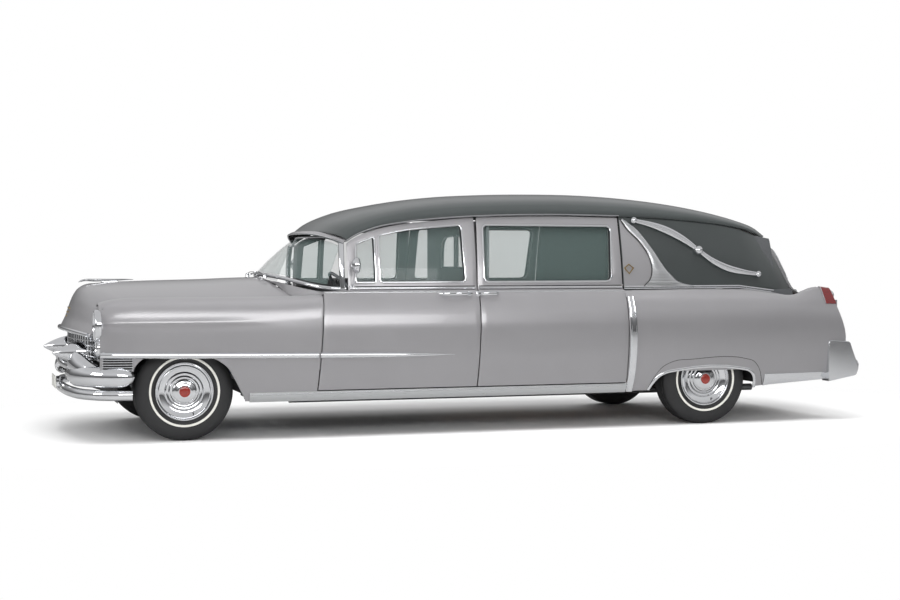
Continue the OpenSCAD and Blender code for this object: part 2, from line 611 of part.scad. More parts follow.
// ---- Cabin ----
module front_seat() {
    color("slategray") translate([-720, 0, 0]) rotate([90, 0, 90]) linear_extrude(1440)
        polygon(fillet([[-760, 420, 30], [-790, 640, 60], [-300, 610, 20], [-190, 1010, 40],
            [-70, 1000, 40], [-200, 420, 30]]));
}
module partition() {
    color("gray") difference() {
        translate([-720, load_front_y - 15, cabin_floor_z + floor_th + 2]) cube([1440, 24, 1190]);
        for (s = [-1, 1]) translate([0, load_front_y - 50, 0]) rotate([-90, 0, 0])
            mirror([0, 1, 0]) linear_extrude(100) polygon(fillet([[s * 18, 1200, 12],
                [s * 18, 1452, 30], [s * 330, 1440, 120], [s * 350, 1200, 30]]));
    }
}
module dashboard() {
    color("gray") union() {
        translate([-690, 0, 0]) rotate([90, 0, 90]) linear_extrude(1380)
            polygon(fillet([[-1405, 840, 10], [-1405, 1000, 10], [-1180, 1000, 40], [-1190, 860, 40]]));
        translate([400, -1397, 660]) rotate([column_tilt, 0, 0]) cylinder(h = 510, r = 26, $fn = 32);
    }
}
column_tilt = -50;
wheel_hub = [400, -1420 + 560 * sin(50), 640 + 560 * cos(50)];
module steering_wheel() {
    color("ivory") translate(wheel_hub) rotate([column_tilt, 0, 0]) union() {
        rotate_extrude($fn = 48) translate([steering_r - 14, 12]) circle(r = 14, $fn = 24);
        translate([0, 0, -14]) cylinder(h = 40, r = 48, $fn = 40);
        for (s = [-1, 1]) translate([s > 0 ? 30 : -steering_r + 14, -12, 4])
            cube([steering_r - 44, 24, 14]);
    }
}

chassis_frame();
engine_block();
exhaust();
rear_axle();
front_suspension();
fuel_tank();
floor_pan();
load_floor();
cowl();
color("lightgray") front_fender();  // front_fender_left
color("lightgray") mirror([1, 0, 0]) front_fender();  // front_fender_right
hood();
grille();
front_bumper();
headlamps();
windshield_glass();
windshield_frame();
roof();
color("dimgray") landau_panel();  // landau_panel_left
color("dimgray") mirror([1, 0, 0]) landau_panel();  // landau_panel_right
landau_bars();
color("silver") front_door();  // front_door_left
color("silver") mirror([1, 0, 0]) front_door();  // front_door_right
color("silver") rear_door();  // rear_door_left
color("silver") mirror([1, 0, 0]) rear_door();  // rear_door_right
color("lightblue") pane(-1100, -180, [front_window, vent_window]);  // front_door_glass_left
color("lightblue") mirror([1, 0, 0]) pane(-1100, -180, [front_window, vent_window]);  // front_door_glass_right
color("lightblue") pane(-100, 1010, [rear_window]);  // rear_door_glass_left
color("lightblue") mirror([1, 0, 0]) pane(-100, 1010, [rear_window]);  // rear_door_glass_right
color("silver") quarter_panel();  // quarter_panel_left
color("silver") mirror([1, 0, 0]) quarter_panel();  // quarter_panel_right
rear_panels();
center_pillars();
load_door();
load_door_glass();
rear_bumper();
tail_lamps();
front_seat();
partition();
dashboard();
steering_wheel();
color("gray") knuckle();  // knuckle_left
color("gray") mirror([1, 0, 0]) knuckle();  // knuckle_right
color("black") at_wheel(track_front / 2, front_axle_y) tyre();  // tyre_front_left
color("black") at_wheel(-track_front / 2, front_axle_y) tyre();  // tyre_front_right
color("black") at_wheel(track_rear / 2, rear_axle_y) tyre();  // tyre_rear_left
color("black") at_wheel(-track_rear / 2, rear_axle_y) tyre();  // tyre_rear_right
color("whitesmoke") at_wheel(track_front / 2, front_axle_y) wheel();  // wheel_front_left
color("whitesmoke") at_wheel(-track_front / 2, front_axle_y) wheel();  // wheel_front_right
color("whitesmoke") at_wheel(track_rear / 2, rear_axle_y) wheel();  // wheel_rear_left
color("whitesmoke") at_wheel(-track_rear / 2, rear_axle_y) wheel();  // wheel_rear_right
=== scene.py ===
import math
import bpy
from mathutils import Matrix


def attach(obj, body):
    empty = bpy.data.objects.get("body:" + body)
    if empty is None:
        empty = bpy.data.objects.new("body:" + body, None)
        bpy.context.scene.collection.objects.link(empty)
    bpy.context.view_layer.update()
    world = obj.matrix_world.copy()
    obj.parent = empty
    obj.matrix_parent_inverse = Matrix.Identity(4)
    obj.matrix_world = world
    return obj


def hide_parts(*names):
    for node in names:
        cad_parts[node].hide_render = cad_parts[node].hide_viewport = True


bl_info = {
    "name": "Landau Hearse",
    "version": (1, 0, 0),
    "blender": (4, 5, 0),
    "location": "View3D > Sidebar > Hearse",
    "description": "Body shells, bright work, wheels, cabin and finishes of a landau hearse",
    "category": "Object",
}

import bmesh
import bpy
from bpy.props import FloatProperty, FloatVectorProperty, IntProperty, PointerProperty
from mathutils import Matrix, Vector

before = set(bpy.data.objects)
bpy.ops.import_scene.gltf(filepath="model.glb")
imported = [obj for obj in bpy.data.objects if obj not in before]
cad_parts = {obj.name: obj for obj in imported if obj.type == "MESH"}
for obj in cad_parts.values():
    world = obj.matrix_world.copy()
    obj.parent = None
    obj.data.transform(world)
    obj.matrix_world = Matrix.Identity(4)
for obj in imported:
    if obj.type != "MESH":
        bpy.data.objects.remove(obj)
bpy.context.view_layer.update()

# Every place and size below is in millimetres; meshes are scaled by MM as they are made.
MM = 0.001
FRONT_AXLE = -2280
REAR_AXLE = 1733
WHEELS = {  # half track, axle place
    "front": (765, FRONT_AXLE),
    "rear": (800, REAR_AXLE),
}
TYRE_R = 345
PILLAR_A = -1108
DOOR_REAR = 1036
SHUT_GAP = 8
DOOR_BOTTOM = 340
DOOR_INSET = 16
DOOR_DEPTH = 62
SILL_Z = 272

# Body side below the belt: height, half width
SIDE = [(250, 925), (270, 932), (360, 964), (480, 986), (600, 1000), (760, 1003), (860, 990),
        (960, 960), (1010, 938), (1045, 915)]
# Window plane above the belt: height, half width
GLASS = [(1040, 893), (1200, 868), (1350, 838), (1480, 808), (1600, 778)]
# Narrowing towards the ends: place, change of half width
PLAN = [(-2960, -100), (-2870, -72), (-2750, -40), (-2500, -12), (-2200, 0), (900, 2), (1700, 0),
        (2200, -15), (2600, -42), (2860, -72), (2960, -100)]
# Top edge of the doors: place, height
DOOR_TOP = [(-1112, 1372), (-1050, 1418), (-900, 1478), (-671, 1522), (-392, 1552), (-111, 1574),
            (514, 1588), (1040, 1580)]
# Shut lines: height, place
DOOR_FRONT = [(340, -1348), (1010, -1300), (1045, -1300)]
DOOR_MID = [(340, -155), (1045, -130), (1580, -111)]
# Fender crown: place, height
CROWN = [(-2900, 948), (-2870, 962), (-2800, 984), (-2600, 1003), (-1700, 1003), (-1300, 1022)]
HOOD_HALF = 722
# Hood along its centre line: place, height, drop at the side
HOOD = [(-3058, 764, 30), (-3040, 800, 40), (-3016, 850, 55), (-2992, 920, 75), (-2960, 1000, 100),
        (-2925, 1050, 112), (-2880, 1078, 118), (-2780, 1092, 118), (-2541, 1104, 120),
        (-2280, 1111, 125), (-2025, 1117, 132), (-1800, 1126, 145), (-1604, 1131, 152)]
# Windshield: base x, y, z, top x, y, z
SCREEN = [(0, -1574, 1140, 0, -1235, 1450), (300, -1560, 1134, 290, -1208, 1448),
          (500, -1510, 1118, 480, -1168, 1444), (680, -1425, 1090, 640, -1140, 1424),
          (800, -1325, 1064, 742, -1132, 1404), (868, -1222, 1050, 792, -1128, 1388),
          (886, -1125, 1047, 820, -1120, 1382)]
# Roof: edge place, half width, height, then centre line place, height
ROOF = [
    (-1104, 816, 1396, -1240, 1478), (-1050, 812, 1430, -1150, 1545),
    (-900, 806, 1490, -1000, 1612), (-671, 800, 1534, -701, 1684),
    (-300, 794, 1572, -300, 1742), (100, 790, 1592, 100, 1767),
    (514, 787, 1600, 480, 1777), (1047, 784, 1594, 1047, 1769), (1400, 776, 1582, 1400, 1742),
    (1700, 760, 1562, 1720, 1702), (1950, 736, 1538, 1998, 1650), (2135, 708, 1512, 2220, 1596),
    (2270, 660, 1480, 2430, 1538), (2390, 592, 1436, 2580, 1460),
]
# Upper quarter: base x, y, z, top x, y, z
LANDAU = [(893, 1047, 1048, 784, 1047, 1588), (882, 1400, 1048, 776, 1400, 1576),
          (868, 1700, 1048, 760, 1700, 1556), (850, 1950, 1046, 736, 1950, 1532),
          (828, 2150, 1040, 708, 2130, 1500), (794, 2330, 1034, 657, 2270, 1464),
          (730, 2500, 1006, 628, 2345, 1438), (614, 2655, 990, 594, 2400, 1418)]
# Quarter panel: place, shoulder height, crest height, crest width, inner crest height,
# inner edge of the shelf x, z
QUARTER = [(1044, 962, 1003, 34, 1036, 850, 1038), (1300, 962, 1003, 34, 1036, 846, 1038),
           (1600, 961, 1002, 34, 1036, 838, 1038), (1900, 960, 1000, 36, 1034, 822, 1036),
           (2150, 958, 996, 40, 1026, 796, 1030), (2350, 956, 990, 46, 1004, 756, 1012),
           (2500, 954, 986, 50, 984, 704, 978), (2590, 966, 1012, 52, 992, 650, 966),
           (2680, 978, 1040, 50, 1016, 624, 962), (2760, 978, 1046, 48, 1024, 612, 960),
           (2860, 970, 1036, 46, 1014, 606, 956)]
QUARTER_LOW = [(1044, 272), (2100, 278), (2280, 296), (2860, 330)]
# Rear edge of the fin and rear face: height, place
FIN_EDGE = [(300, 2952), (640, 2952), (917, 2876), (1046, 2838)]
REAR_FACE = [(330, 2950), (500, 2942), (700, 2926), (850, 2906), (945, 2884)]
# Load door: height, place at its middle
TAIL = [(660, 2965), (760, 2960), (860, 2952), (930, 2942), (990, 2923), (1050, 2893),
        (1130, 2843), (1226, 2795), (1342, 2719), (1405, 2655), (1460, 2590)]
LOAD_DOOR_HALF = 580
LOAD_DOOR_TOP = 1405
# Openings as corners: place along, height, corner radius
FRONT_WINDOW = [(-868, 1100, 20), (-868, 1438, 30), (-660, 1482, 120), (-225, 1520, 40),
                (-215, 1100, 40)]
VENT_WINDOW = [(-1052, 1100, 20), (-1040, 1376, 20), (-898, 1430, 20), (-898, 1100, 20)]
REAR_WINDOW = [(-72, 1100, 40), (-60, 1520, 40), (975, 1518, 50), (948, 1100, 50)]
LOAD_WINDOW = [(-430, 1110, 50), (-385, 1345, 60), (385, 1345, 60), (430, 1110, 50)]
ARCH_FRONT = [(-2645, 100, 0), (-2650, 520, 20), (-2590, 603, 60), (-2100, 598, 70),
              (-1990, 520, 40), (-1870, 300, 10), (-1850, 100, 0)]
ARCH_REAR = [(1218, 100), (1228, 268), (1264, 331), (1312, 380), (1371, 405), (1443, 417),
             (2010, 419), (2063, 408), (2106, 381), (2131, 333), (2140, 266), (2143, 100)]


# ---- Numbers ----
def mix(a, b, t):
    return a + (b - a) * t


def clamp(t, low=0.0, high=1.0):
    return min(max(t, low), high)


def straight(rows):
    """A broken line through rows of place and value."""
    def at(x):
        x = clamp(x, rows[0][0], rows[-1][0])
        for (x0, v0, *_), (x1, v1, *_) in zip(rows, rows[1:]):
            if x <= x1:
                return mix(v0, v1, (x - x0) / (x1 - x0))
        return rows[-1][1]
    return at


def smooth(rows):
    """A smooth curve without overshoot through rows of place and value."""
    xs = [row[0] for row in rows]
    vs = [row[1] for row in rows]
    runs = [b - a for a, b in zip(xs, xs[1:])]
    rises = [(b - a) / h for a, b, h in zip(vs, vs[1:], runs)]
    slopes = [rises[0]]
    for before, after in zip(rises, rises[1:]):
        slopes.append(2 * before * after / (before + after) if before * after > 0 else 0)
    slopes.append(rises[-1])

    def at(x):
        x = clamp(x, xs[0], xs[-1])
        k = 0
        while k < len(runs) - 1 and x > xs[k + 1]:
            k += 1
        t = (x - xs[k]) / runs[k]
        rise = vs[k] * (1 + 2 * t) * (1 - t) ** 2 + vs[k + 1] * t * t * (3 - 2 * t)
        return rise + runs[k] * (slopes[k] * t * (1 - t) ** 2 - slopes[k + 1] * t * t * (1 - t))
    return at


def smooth_line(points, steps):
    """Points along a smooth line through the given points, steps of them to each stretch."""
    P = [Vector(p) for p in points]
    runs = [max((b - a).length, 1e-6) for a, b in zip(P, P[1:])]

    def slope(k):
        if k == 0:
            return (P[1] - P[0]) / runs[0]
        if k == len(P) - 1:
            return (P[-1] - P[-2]) / runs[-1]
        back, on = (P[k] - P[k - 1]) / runs[k - 1], (P[k + 1] - P[k]) / runs[k]
        return (back * runs[k] + on * runs[k - 1]) / (runs[k - 1] + runs[k])

    line = []
    for k, run in enumerate(runs):
        start, end = slope(k) * run, slope(k + 1) * run
        for s in range(steps):
            t = s / steps
            line.append(P[k] * ((1 + 2 * t) * (1 - t) ** 2) + start * (t * (1 - t) ** 2)
                        + P[k + 1] * (t * t * (3 - 2 * t)) - end * (t * t * (1 - t)))
    return line + [P[-1]]


def smooth_grid(rows, along, across):
    """A finer grid through a grid of points."""
    rows = [smooth_line(row, across) for row in rows]
    columns = [smooth_line(column, along) for column in zip(*rows)]
    return [list(row) for row in zip(*columns)]


def smooth_outline(points, steps):
    """The same for a flat line of two values."""
    return [(p.x, p.y) for p in smooth_line([(a, b, 0) for a, b in points], steps)]


def spread(low, high, count):
    return [mix(low, high, k / (count - 1)) for k in range(count)]


def rounded(corners, steps=6):
    """Outline with its corners rounded; each corner is across, up, radius."""
    outline = []
    for k, (x, z, radius) in enumerate(corners):
        corner = Vector((x, z))
        if not radius:
            outline.append(corner)
            continue
        before = Vector(corners[k - 1][:2])
        after = Vector(corners[(k + 1) % len(corners)][:2])
        start = corner + (before - corner).normalized() * radius
        end = corner + (after - corner).normalized() * radius
        for s in range(steps + 1):
            t = s / steps
            outline.append(start * (1 - t) ** 2 + corner * 2 * t * (1 - t) + end * t * t)
    return outline


side_at, plan_at, glass_at = smooth(SIDE), smooth(PLAN), smooth(GLASS)
door_top_at, crown_at = smooth(DOOR_TOP), smooth(CROWN)
door_front_at, door_mid_at = straight(DOOR_FRONT), straight(DOOR_MID)
fin_edge_at, rear_face_at, tail_at = smooth(FIN_EDGE), smooth(REAR_FACE), smooth(TAIL)
landau_base_x, landau_base_z, landau_top_x, landau_top_z = (
    smooth([(row[1], row[k]) for row in LANDAU]) for k in (0, 2, 3, 5))


def side_x(y, z):
    return side_at(z) + plan_at(y)


def landau_x(y, z):
    """Half width of the upper quarter at a place and height."""
    low, high = landau_base_z(y), landau_top_z(y)
    v = clamp((z - low) / (high - low))
    return mix(landau_base_x(y), landau_top_x(y), v) + 10 * math.sin(math.pi * v)


def hood_point(row, x):
    u = abs(x) / HOOD_HALF
    return Vector((x, row[0] + 140 * u * u, row[1] - row[2] * u ** 2.2))


def screen_point(row, v, out=0.0):
    """Point of the windshield, v from its base to its top, out from its surface."""
    bow = 16 * math.sin(math.pi * v) + out
    k = abs(row[0]) / 886
    point = Vector(row[:3]).lerp(Vector(row[3:]), v)
    return point + bow * Vector((math.copysign(k, row[0]) if row[0] else 0,
                                 -math.sqrt(1 - k * k * 0.9), 0.3))


def both_ways(rows):
    """Rows for the right half, mirrored, and then the left half's."""
    flipped = []
    for row in rows[:0:-1]:
        row = list(row)
        row[0] = -row[0]
        if len(row) > 3:
            row[3] = -row[3]
        flipped.append(tuple(row))
    return flipped + list(rows)


# ---- Meshes ----
def only(piece):
    """Selects one piece and makes it active."""
    bpy.ops.object.select_all(action="DESELECT")
    piece.select_set(True)
    bpy.context.view_layer.objects.active = piece
    return piece


def mesh_piece(name, points, faces, recalculate=True):
    mesh = bpy.data.meshes.new(name)
    mesh.from_pydata([Vector(p) * MM for p in points], [], faces)
    piece = bpy.data.objects.new(name, mesh)
    bpy.context.scene.collection.objects.link(piece)
    if recalculate:
        outward(piece)
    return piece


def outward(piece):
    """Merges doubles and turns the faces outwards."""
    only(piece)
    bpy.ops.object.mode_set(mode="EDIT")
    bpy.ops.mesh.select_all(action="SELECT")
    bpy.ops.mesh.remove_doubles(threshold=0.00002)
    bpy.ops.mesh.normals_make_consistent(inside=False)
    bpy.ops.object.mode_set(mode="OBJECT")


def apply(piece, kind, **settings):
    """Adds a modifier with its settings and applies it."""
    only(piece)
    modifier = piece.modifiers.new(kind.lower(), kind)
    for key, value in settings.items():
        setattr(modifier, key, value)
    bpy.ops.object.modifier_apply(modifier=modifier.name)
    return piece


def soften(piece, width=2.5, segments=2, angle=38):
    """Rounds the piece's sharp edges."""
    return apply(piece, "BEVEL", width=width * MM, segments=segments, limit_method="ANGLE",
                 angle_limit=math.radians(angle), use_clamp_overlap=True)


def closed_shell(name, outer, inner):
    """Closed piece between two grids of points of the same size."""
    rows, columns = len(outer), len(outer[0])
    count = rows * columns
    points = [p for row in outer for p in row] + [p for row in inner for p in row]
    faces = []
    for i in range(rows - 1):
        for j in range(columns - 1):
            a = i * columns + j
            quad = (a, a + columns, a + columns + 1, a + 1)
            faces.append(quad)
            faces.append(tuple(count + k for k in reversed(quad)))
    rim = list(range(columns))
    rim += [i * columns + columns - 1 for i in range(1, rows)]
    rim += [(rows - 1) * columns + j for j in range(columns - 2, -1, -1)]
    rim += [i * columns for i in range(rows - 2, 0, -1)]
    for a, b in zip(rim, rim[1:] + rim[:1]):
        faces.append((a, b, b + count, a + count))
    return mesh_piece(name, points, faces)


def moved_in(grid, depth, centre_z=400):
    """The grid moved along its normals towards the car's middle."""
    rows, columns = len(grid), len(grid[0])
    moved = []
    for i in range(rows):
        line = []
        for j in range(columns):
            along = grid[min(i + 1, rows - 1)][j] - grid[max(i - 1, 0)][j]
            across = grid[i][min(j + 1, columns - 1)] - grid[i][max(j - 1, 0)]
            normal = along.cross(across).normalized()
            p = grid[i][j]
            if normal.dot(Vector((p.x, 0.05 * p.y, p.z - centre_z))) < 0:
                normal = -normal
            line.append(p - normal * depth)
        moved.append(line)
    return moved


def panel(name, grid, thickness, centre_z=400):
    return closed_shell(name, grid, moved_in(grid, thickness, centre_z))


def slab(name, grid, offset):
    """Closed piece between a grid and its copy moved by the offset."""
    return closed_shell(name, grid, [[p + Vector(offset) for p in row] for row in grid])


def grid_of(point, us, vs):
    """Grid of the points at each pair of values, a row for each of the first."""
    return [[Vector(point(u, v)) for v in vs] for u in us]


def prism(name, outline, low, high, axis="X"):
    """Straight prism of an outline between two places on an axis; the outline is in the
    other two axes, in order."""
    points = []
    for place in (low, high):
        for a, b in outline:
            points.append((place, a, b) if axis == "X" else (a, place, b))
    n = len(outline)
    faces = [tuple(range(n)), tuple(range(2 * n - 1, n - 1, -1))]
    faces += [(k, (k + 1) % n, (k + 1) % n + n, k + n) for k in range(n)]
    return mesh_piece(name, points, faces)


def cut(piece, outline, low=560, high=1100, axis="X"):
    """Cuts an opening of that outline through the piece."""
    cutter = prism("cutter", outline, low, high, axis)
    apply(piece, "BOOLEAN", operation="DIFFERENCE", solver="EXACT", object=cutter)
    bpy.data.meshes.remove(cutter.data)
    return piece


def sweep(name, path, section, up=(0, 0, 1), loop=False, scale=None):
    """Bar of a section [(across, up)] along a path; up is a direction or one for each point,
    scale a factor for each point."""
    P = [Vector(p) for p in path]
    n, m = len(P), len(section)
    points = []
    for i, p in enumerate(P):
        back = P[i - 1] if loop or i else P[0]
        on = P[(i + 1) % n] if loop or i < n - 1 else P[-1]
        direction = (on - back).normalized()
        lift = Vector(up[i] if isinstance(up, list) else up)
        across = direction.cross(lift).normalized()
        lift = across.cross(direction)
        size = scale[i] if scale else 1
        points += [p + across * a * size + lift * b * size for a, b in section]
    faces = []
    for i in range(n if loop else n - 1):
        for k in range(m):
            a, b = i * m + k, i * m + (k + 1) % m
            c, d = (b + m) % (n * m), (a + m) % (n * m)
            faces.append((a, b, c, d))
    if not loop:
        faces += [tuple(range(m - 1, -1, -1)), tuple(range((n - 1) * m, n * m))]
    return mesh_piece(name, points, faces)


def ring(width, height, sides=12, power=1.0):
    """Oval section; a power under 1 squares it off."""
    points = []
    for k in range(sides):
        a = math.tau * (k + 0.5) / sides
        c, s = math.cos(a), math.sin(a)
        points.append((math.copysign(abs(c) ** power, c) * width / 2,
                       math.copysign(abs(s) ** power, s) * height / 2))
    return points


def moulding(width, height):
    """Half round section of a bright strip, standing out by its height."""
    points = [(0, -width / 2)]
    for k in range(1, 6):
        a = math.pi * (k / 6 - 0.5)
        points.append((height * math.cos(a), width / 2 * math.sin(a)))
    return points + [(0, width / 2), (-2, width / 2), (-2, -width / 2)]


def turned(name, profile, centre, axis="X", way=1, steps=64):
    """Turned piece from a profile of radius and place along its axis, made with Spin."""
    mesh = bpy.data.meshes.new(name)
    unit = {"X": Vector((1, 0, 0)), "Y": Vector((0, 1, 0)), "Z": Vector((0, 0, 1))}[axis]
    out = Vector((0, 0, 1)) if axis != "Z" else Vector((1, 0, 0))
    middle = Vector(centre)
    points = [(middle + out * r + unit * (way * a)) * MM for r, a in profile]
    mesh.from_pydata(points, [(k, k + 1) for k in range(len(points) - 1)], [])
    piece = bpy.data.objects.new(name, mesh)
    bpy.context.scene.collection.objects.link(piece)
    only(piece)
    bpy.ops.object.mode_set(mode="EDIT")
    bpy.ops.mesh.select_all(action="SELECT")
    bpy.ops.mesh.spin(steps=steps, angle=math.tau, center=middle * MM, axis=unit)
    bpy.ops.mesh.select_all(action="SELECT")
    bpy.ops.mesh.remove_doubles(threshold=0.00002)
    bpy.ops.mesh.normals_make_consistent(inside=False)
    bpy.ops.object.mode_set(mode="OBJECT")
    return piece


def block(name, low, high, bevel=4, segments=3):
    """Box with rounded edges between two corners."""
    low, high = Vector(low) * MM, Vector(high) * MM
    bpy.ops.object.select_all(action="DESELECT")
    bpy.ops.mesh.primitive_cube_add(size=1, location=(low + high) / 2, scale=high - low)
    piece = bpy.context.object
    piece.name = name
    bpy.ops.object.transform_apply(location=True, rotation=True, scale=True)
    if bevel:
        soften(piece, bevel, segments)
    return piece


def joined(name, parts):
    """One piece from several."""
    only(parts[0])
    for part in parts:
        part.select_set(True)
    if len(parts) > 1:
        bpy.ops.object.join()
    parts[0].name = name
    return parts[0]


def opposite(piece, name):
    """The same piece for the car's right side."""
    twin = piece.copy()
    twin.data = piece.data.copy()
    twin.name = name
    bpy.context.scene.collection.objects.link(twin)
    twin.data.transform(Matrix.Scale(-1, 4, (1, 0, 0)))
    twin.data.flip_normals()
    return twin


def fit(piece, body, finish, node=None, angle=35):
    """Finishes a piece: its shading, material, body, slot and the node it stands for."""
    only(piece)
    bpy.ops.object.shade_smooth_by_angle(angle=math.radians(angle))
    piece.data.materials.clear()
    piece.data.materials.append(FINISHES[finish])
    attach(piece, body)
    if node:
        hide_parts(node)
    return piece


def fit_pair(piece, name, body, finish, node=None, angle=35):
    """Fits a left piece and its twin; SIDE in body and node becomes left or right."""
    piece.name = name + "_left"
    twin = opposite(piece, name + "_right")
    for part, side in ((piece, "left"), (twin, "right")):
        fit(part, body.replace("SIDE", side), finish, node and node.replace("SIDE", side), angle)
    return piece, twin


# ---- Finishes ----
class Wire:
    """A shader socket that takes part in Python sums."""

    def __init__(self, tree, socket):
        self.tree = tree
        self.socket = socket

    def sum(self, operation, first, second):
        node = self.tree.nodes.new("ShaderNodeMath")
        node.operation = operation
        for value, entry in zip((first, second), node.inputs):
            if isinstance(value, Wire):
                self.tree.links.new(value.socket, entry)
            else:
                entry.default_value = value
        return Wire(self.tree, node.outputs[0])

    def __add__(self, other):
        return self.sum("ADD", self, other)

    def __sub__(self, other):
        return self.sum("SUBTRACT", self, other)

    def __rsub__(self, other):
        return self.sum("SUBTRACT", other, self)

    def __mul__(self, other):
        return self.sum("MULTIPLY", self, other)

    def __gt__(self, other):
        return self.sum("GREATER_THAN", self, other)

    def __lt__(self, other):
        return self.sum("LESS_THAN", self, other)

    __radd__ = __add__
    __rmul__ = __mul__


class Finish:
    """One material: its Principled shader and the nodes that vary it over the surface."""

    def __init__(self, name, colour, roughness, metallic=0.0, coat=0.0, **constants):
        self.material = bpy.data.materials.new(name)
        self.material.use_nodes = True
        self.tree = self.material.node_tree
        self.shader = self.tree.nodes["Principled BSDF"]
        self.colour = colour
        self.set("Base Color", (*colour[:3], 1))
        self.set("Roughness", roughness)
        self.set("Metallic", metallic)
        self.set("Coat Weight", coat)
        for key, value in constants.items():
            self.set(key.replace("_", " "), value)

    def set(self, name, value):
        entry = self.shader.inputs[name]
        if isinstance(value, Wire):
            self.tree.links.new(value.socket, entry)
        else:
            entry.default_value = value

    def node(self, kind, settings=(), values=(), output=0):
        """Any node: its settings first, then the values or wires of its sockets."""
        node = self.tree.nodes.new(kind)
        for key, value in dict(settings).items():
            if key == "stops":
                ramp = node.color_ramp.elements
                for element, (place, shade) in zip(ramp, value):
                    element.position = place
                    element.color = (shade, shade, shade, 1)
            else:
                setattr(node, key, value)
        for key, value in dict(values).items():
            entry = node.inputs[key]
            if isinstance(value, Wire):
                self.tree.links.new(value.socket, entry)
            else:
                entry.default_value = value
        return Wire(self.tree, node.outputs[output])

    def place(self, scale=(1, 1, 1)):
        """Object coordinates, stretched."""
        coordinates = self.node("ShaderNodeTexCoord", output=3)
        return self.node("ShaderNodeMapping", values={"Vector": coordinates, "Scale": scale})

    def noise(self, scale, detail=3.0, stretch=(1, 1, 1)):
        return self.node("ShaderNodeTexNoise", values={
            "Vector": self.place(stretch), "Scale": scale, "Detail": detail})

    def blend(self, mask, first, second):
        """Colour from first to second by the mask."""
        return self.node("ShaderNodeMix", {"data_type": "RGBA"}, {
            0: mask, 6: (*first[:3], 1) if not isinstance(first, Wire) else first,
            7: (*second[:3], 1) if not isinstance(second, Wire) else second}, output=2)

    def shade(self, mask, low, high):
        """The base colour, from low to high times itself by the mask."""
        self.set("Base Color", self.blend(mask, [c * low for c in self.colour],
                                          [min(c * high, 1) for c in self.colour]))

    def bump(self, height, strength, distance=0.001):
        self.set("Normal", self.node("ShaderNodeBump", values={
            "Height": height, "Strength": strength, "Distance": distance}))


def silver_paint(tone):
    """Metallic paint with fine flakes under a clear coat."""
    f = Finish("silver_paint", tone, 0.3, 0.55, 0.5, Coat_Roughness=0.06)
    flake = f.noise(1400, 1.0)
    f.shade(f.noise(3.0, 2.0) * 0.6 + flake * 0.4, 0.93, 1.07)
    f.set("Roughness", f.noise(6.0) * 0.05 + 0.285)
    f.bump(flake, 0.03, 0.0002)
    return f.material


def charcoal_paint(tone):
    """Dark gloss paint with a slight orange peel."""
    f = Finish("charcoal_paint", tone, 0.32, 0.2, 0.5, Coat_Roughness=0.05)
    f.shade(f.noise(2.5, 2.0), 0.88, 1.12)
    f.set("Roughness", f.noise(9.0) * 0.06 + 0.3)
    f.bump(f.noise(160, 1.0), 0.02, 0.0003)
    return f.material


def chrome(name, roughness=0.06):
    """Bright plate with faint polishing haze."""
    f = Finish(name, (0.84, 0.85, 0.87), roughness, 1.0)
    haze = f.noise(14.0, 4.0)
    f.set("Roughness", haze * 0.05 + (roughness - 0.02))
    f.shade(haze, 0.96, 1.03)
    return f.material


def brushed(name="brushed_stainless"):
    """Stainless strip brushed along the car."""
    f = Finish(name, (0.66, 0.67, 0.68), 0.3, 1.0)
    grain = f.noise(500, 2.0, (1, 0.03, 1))
    f.shade(grain, 0.88, 1.1)
    f.set("Roughness", grain * 0.12 + 0.24)
    f.bump(grain, 0.08, 0.0002)
    return f.material


def rubber(name="tyre_rubber", tone=(0.017, 0.017, 0.018)):
    f = Finish(name, tone, 0.7)
    dust = f.noise(24.0, 4.0)
    f.shade(dust, 0.8, 1.5)
    f.set("Roughness", dust * 0.16 + 0.56)
    f.bump(f.noise(420, 2.0), 0.2, 0.0004)
    return f.material


def whitewall():
    f = Finish("whitewall", (0.7, 0.69, 0.64), 0.55)
    f.shade(f.noise(30.0, 4.0), 0.9, 1.06)
    f.bump(f.noise(260), 0.1, 0.0003)
    return f.material


def window_glass(tint):
    f = Finish("window_glass", tint, 0.03, 0.0, 0.0, Alpha=0.2, IOR=1.5)
    f.set("Roughness", f.noise(5.0) * 0.02 + 0.015)
    return f.material


def painted(name, tone, roughness, metallic=0.0, grain=60.0, depth=0.1):
    """Plain paint or casting with a fine uneven skin."""
    f = Finish(name, tone, roughness, metallic)
    cloud = f.noise(7.0, 4.0)
    f.shade(cloud, 0.8, 1.2)
    f.set("Roughness", cloud * 0.15 + (roughness - 0.07))
    f.bump(f.noise(grain, 3.0), depth, 0.0008)
    return f.material


def lens(name, tone):
    """Moulded lamp lens with fine vertical flutes."""
    f = Finish(name, tone, 0.08, 0.0, 0.8, Coat_Roughness=0.03)
    flutes = f.node("ShaderNodeTexWave", {"bands_direction": "X"}, {
        "Vector": f.place(), "Scale": 55.0})
    f.shade(flutes, 0.7, 1.25)
    f.bump(flutes, 0.25, 0.001)
    return f.material


def clear_lens():
    f = Finish("clear_lens", (0.78, 0.8, 0.8), 0.07, 0.3, 0.8, Coat_Roughness=0.03)
    flutes = f.node("ShaderNodeTexWave", {"bands_direction": "X"}, {
        "Vector": f.place(), "Scale": 26.0})
    f.shade(flutes, 0.72, 1.1)
    f.bump(flutes, 0.35, 0.002)
    return f.material


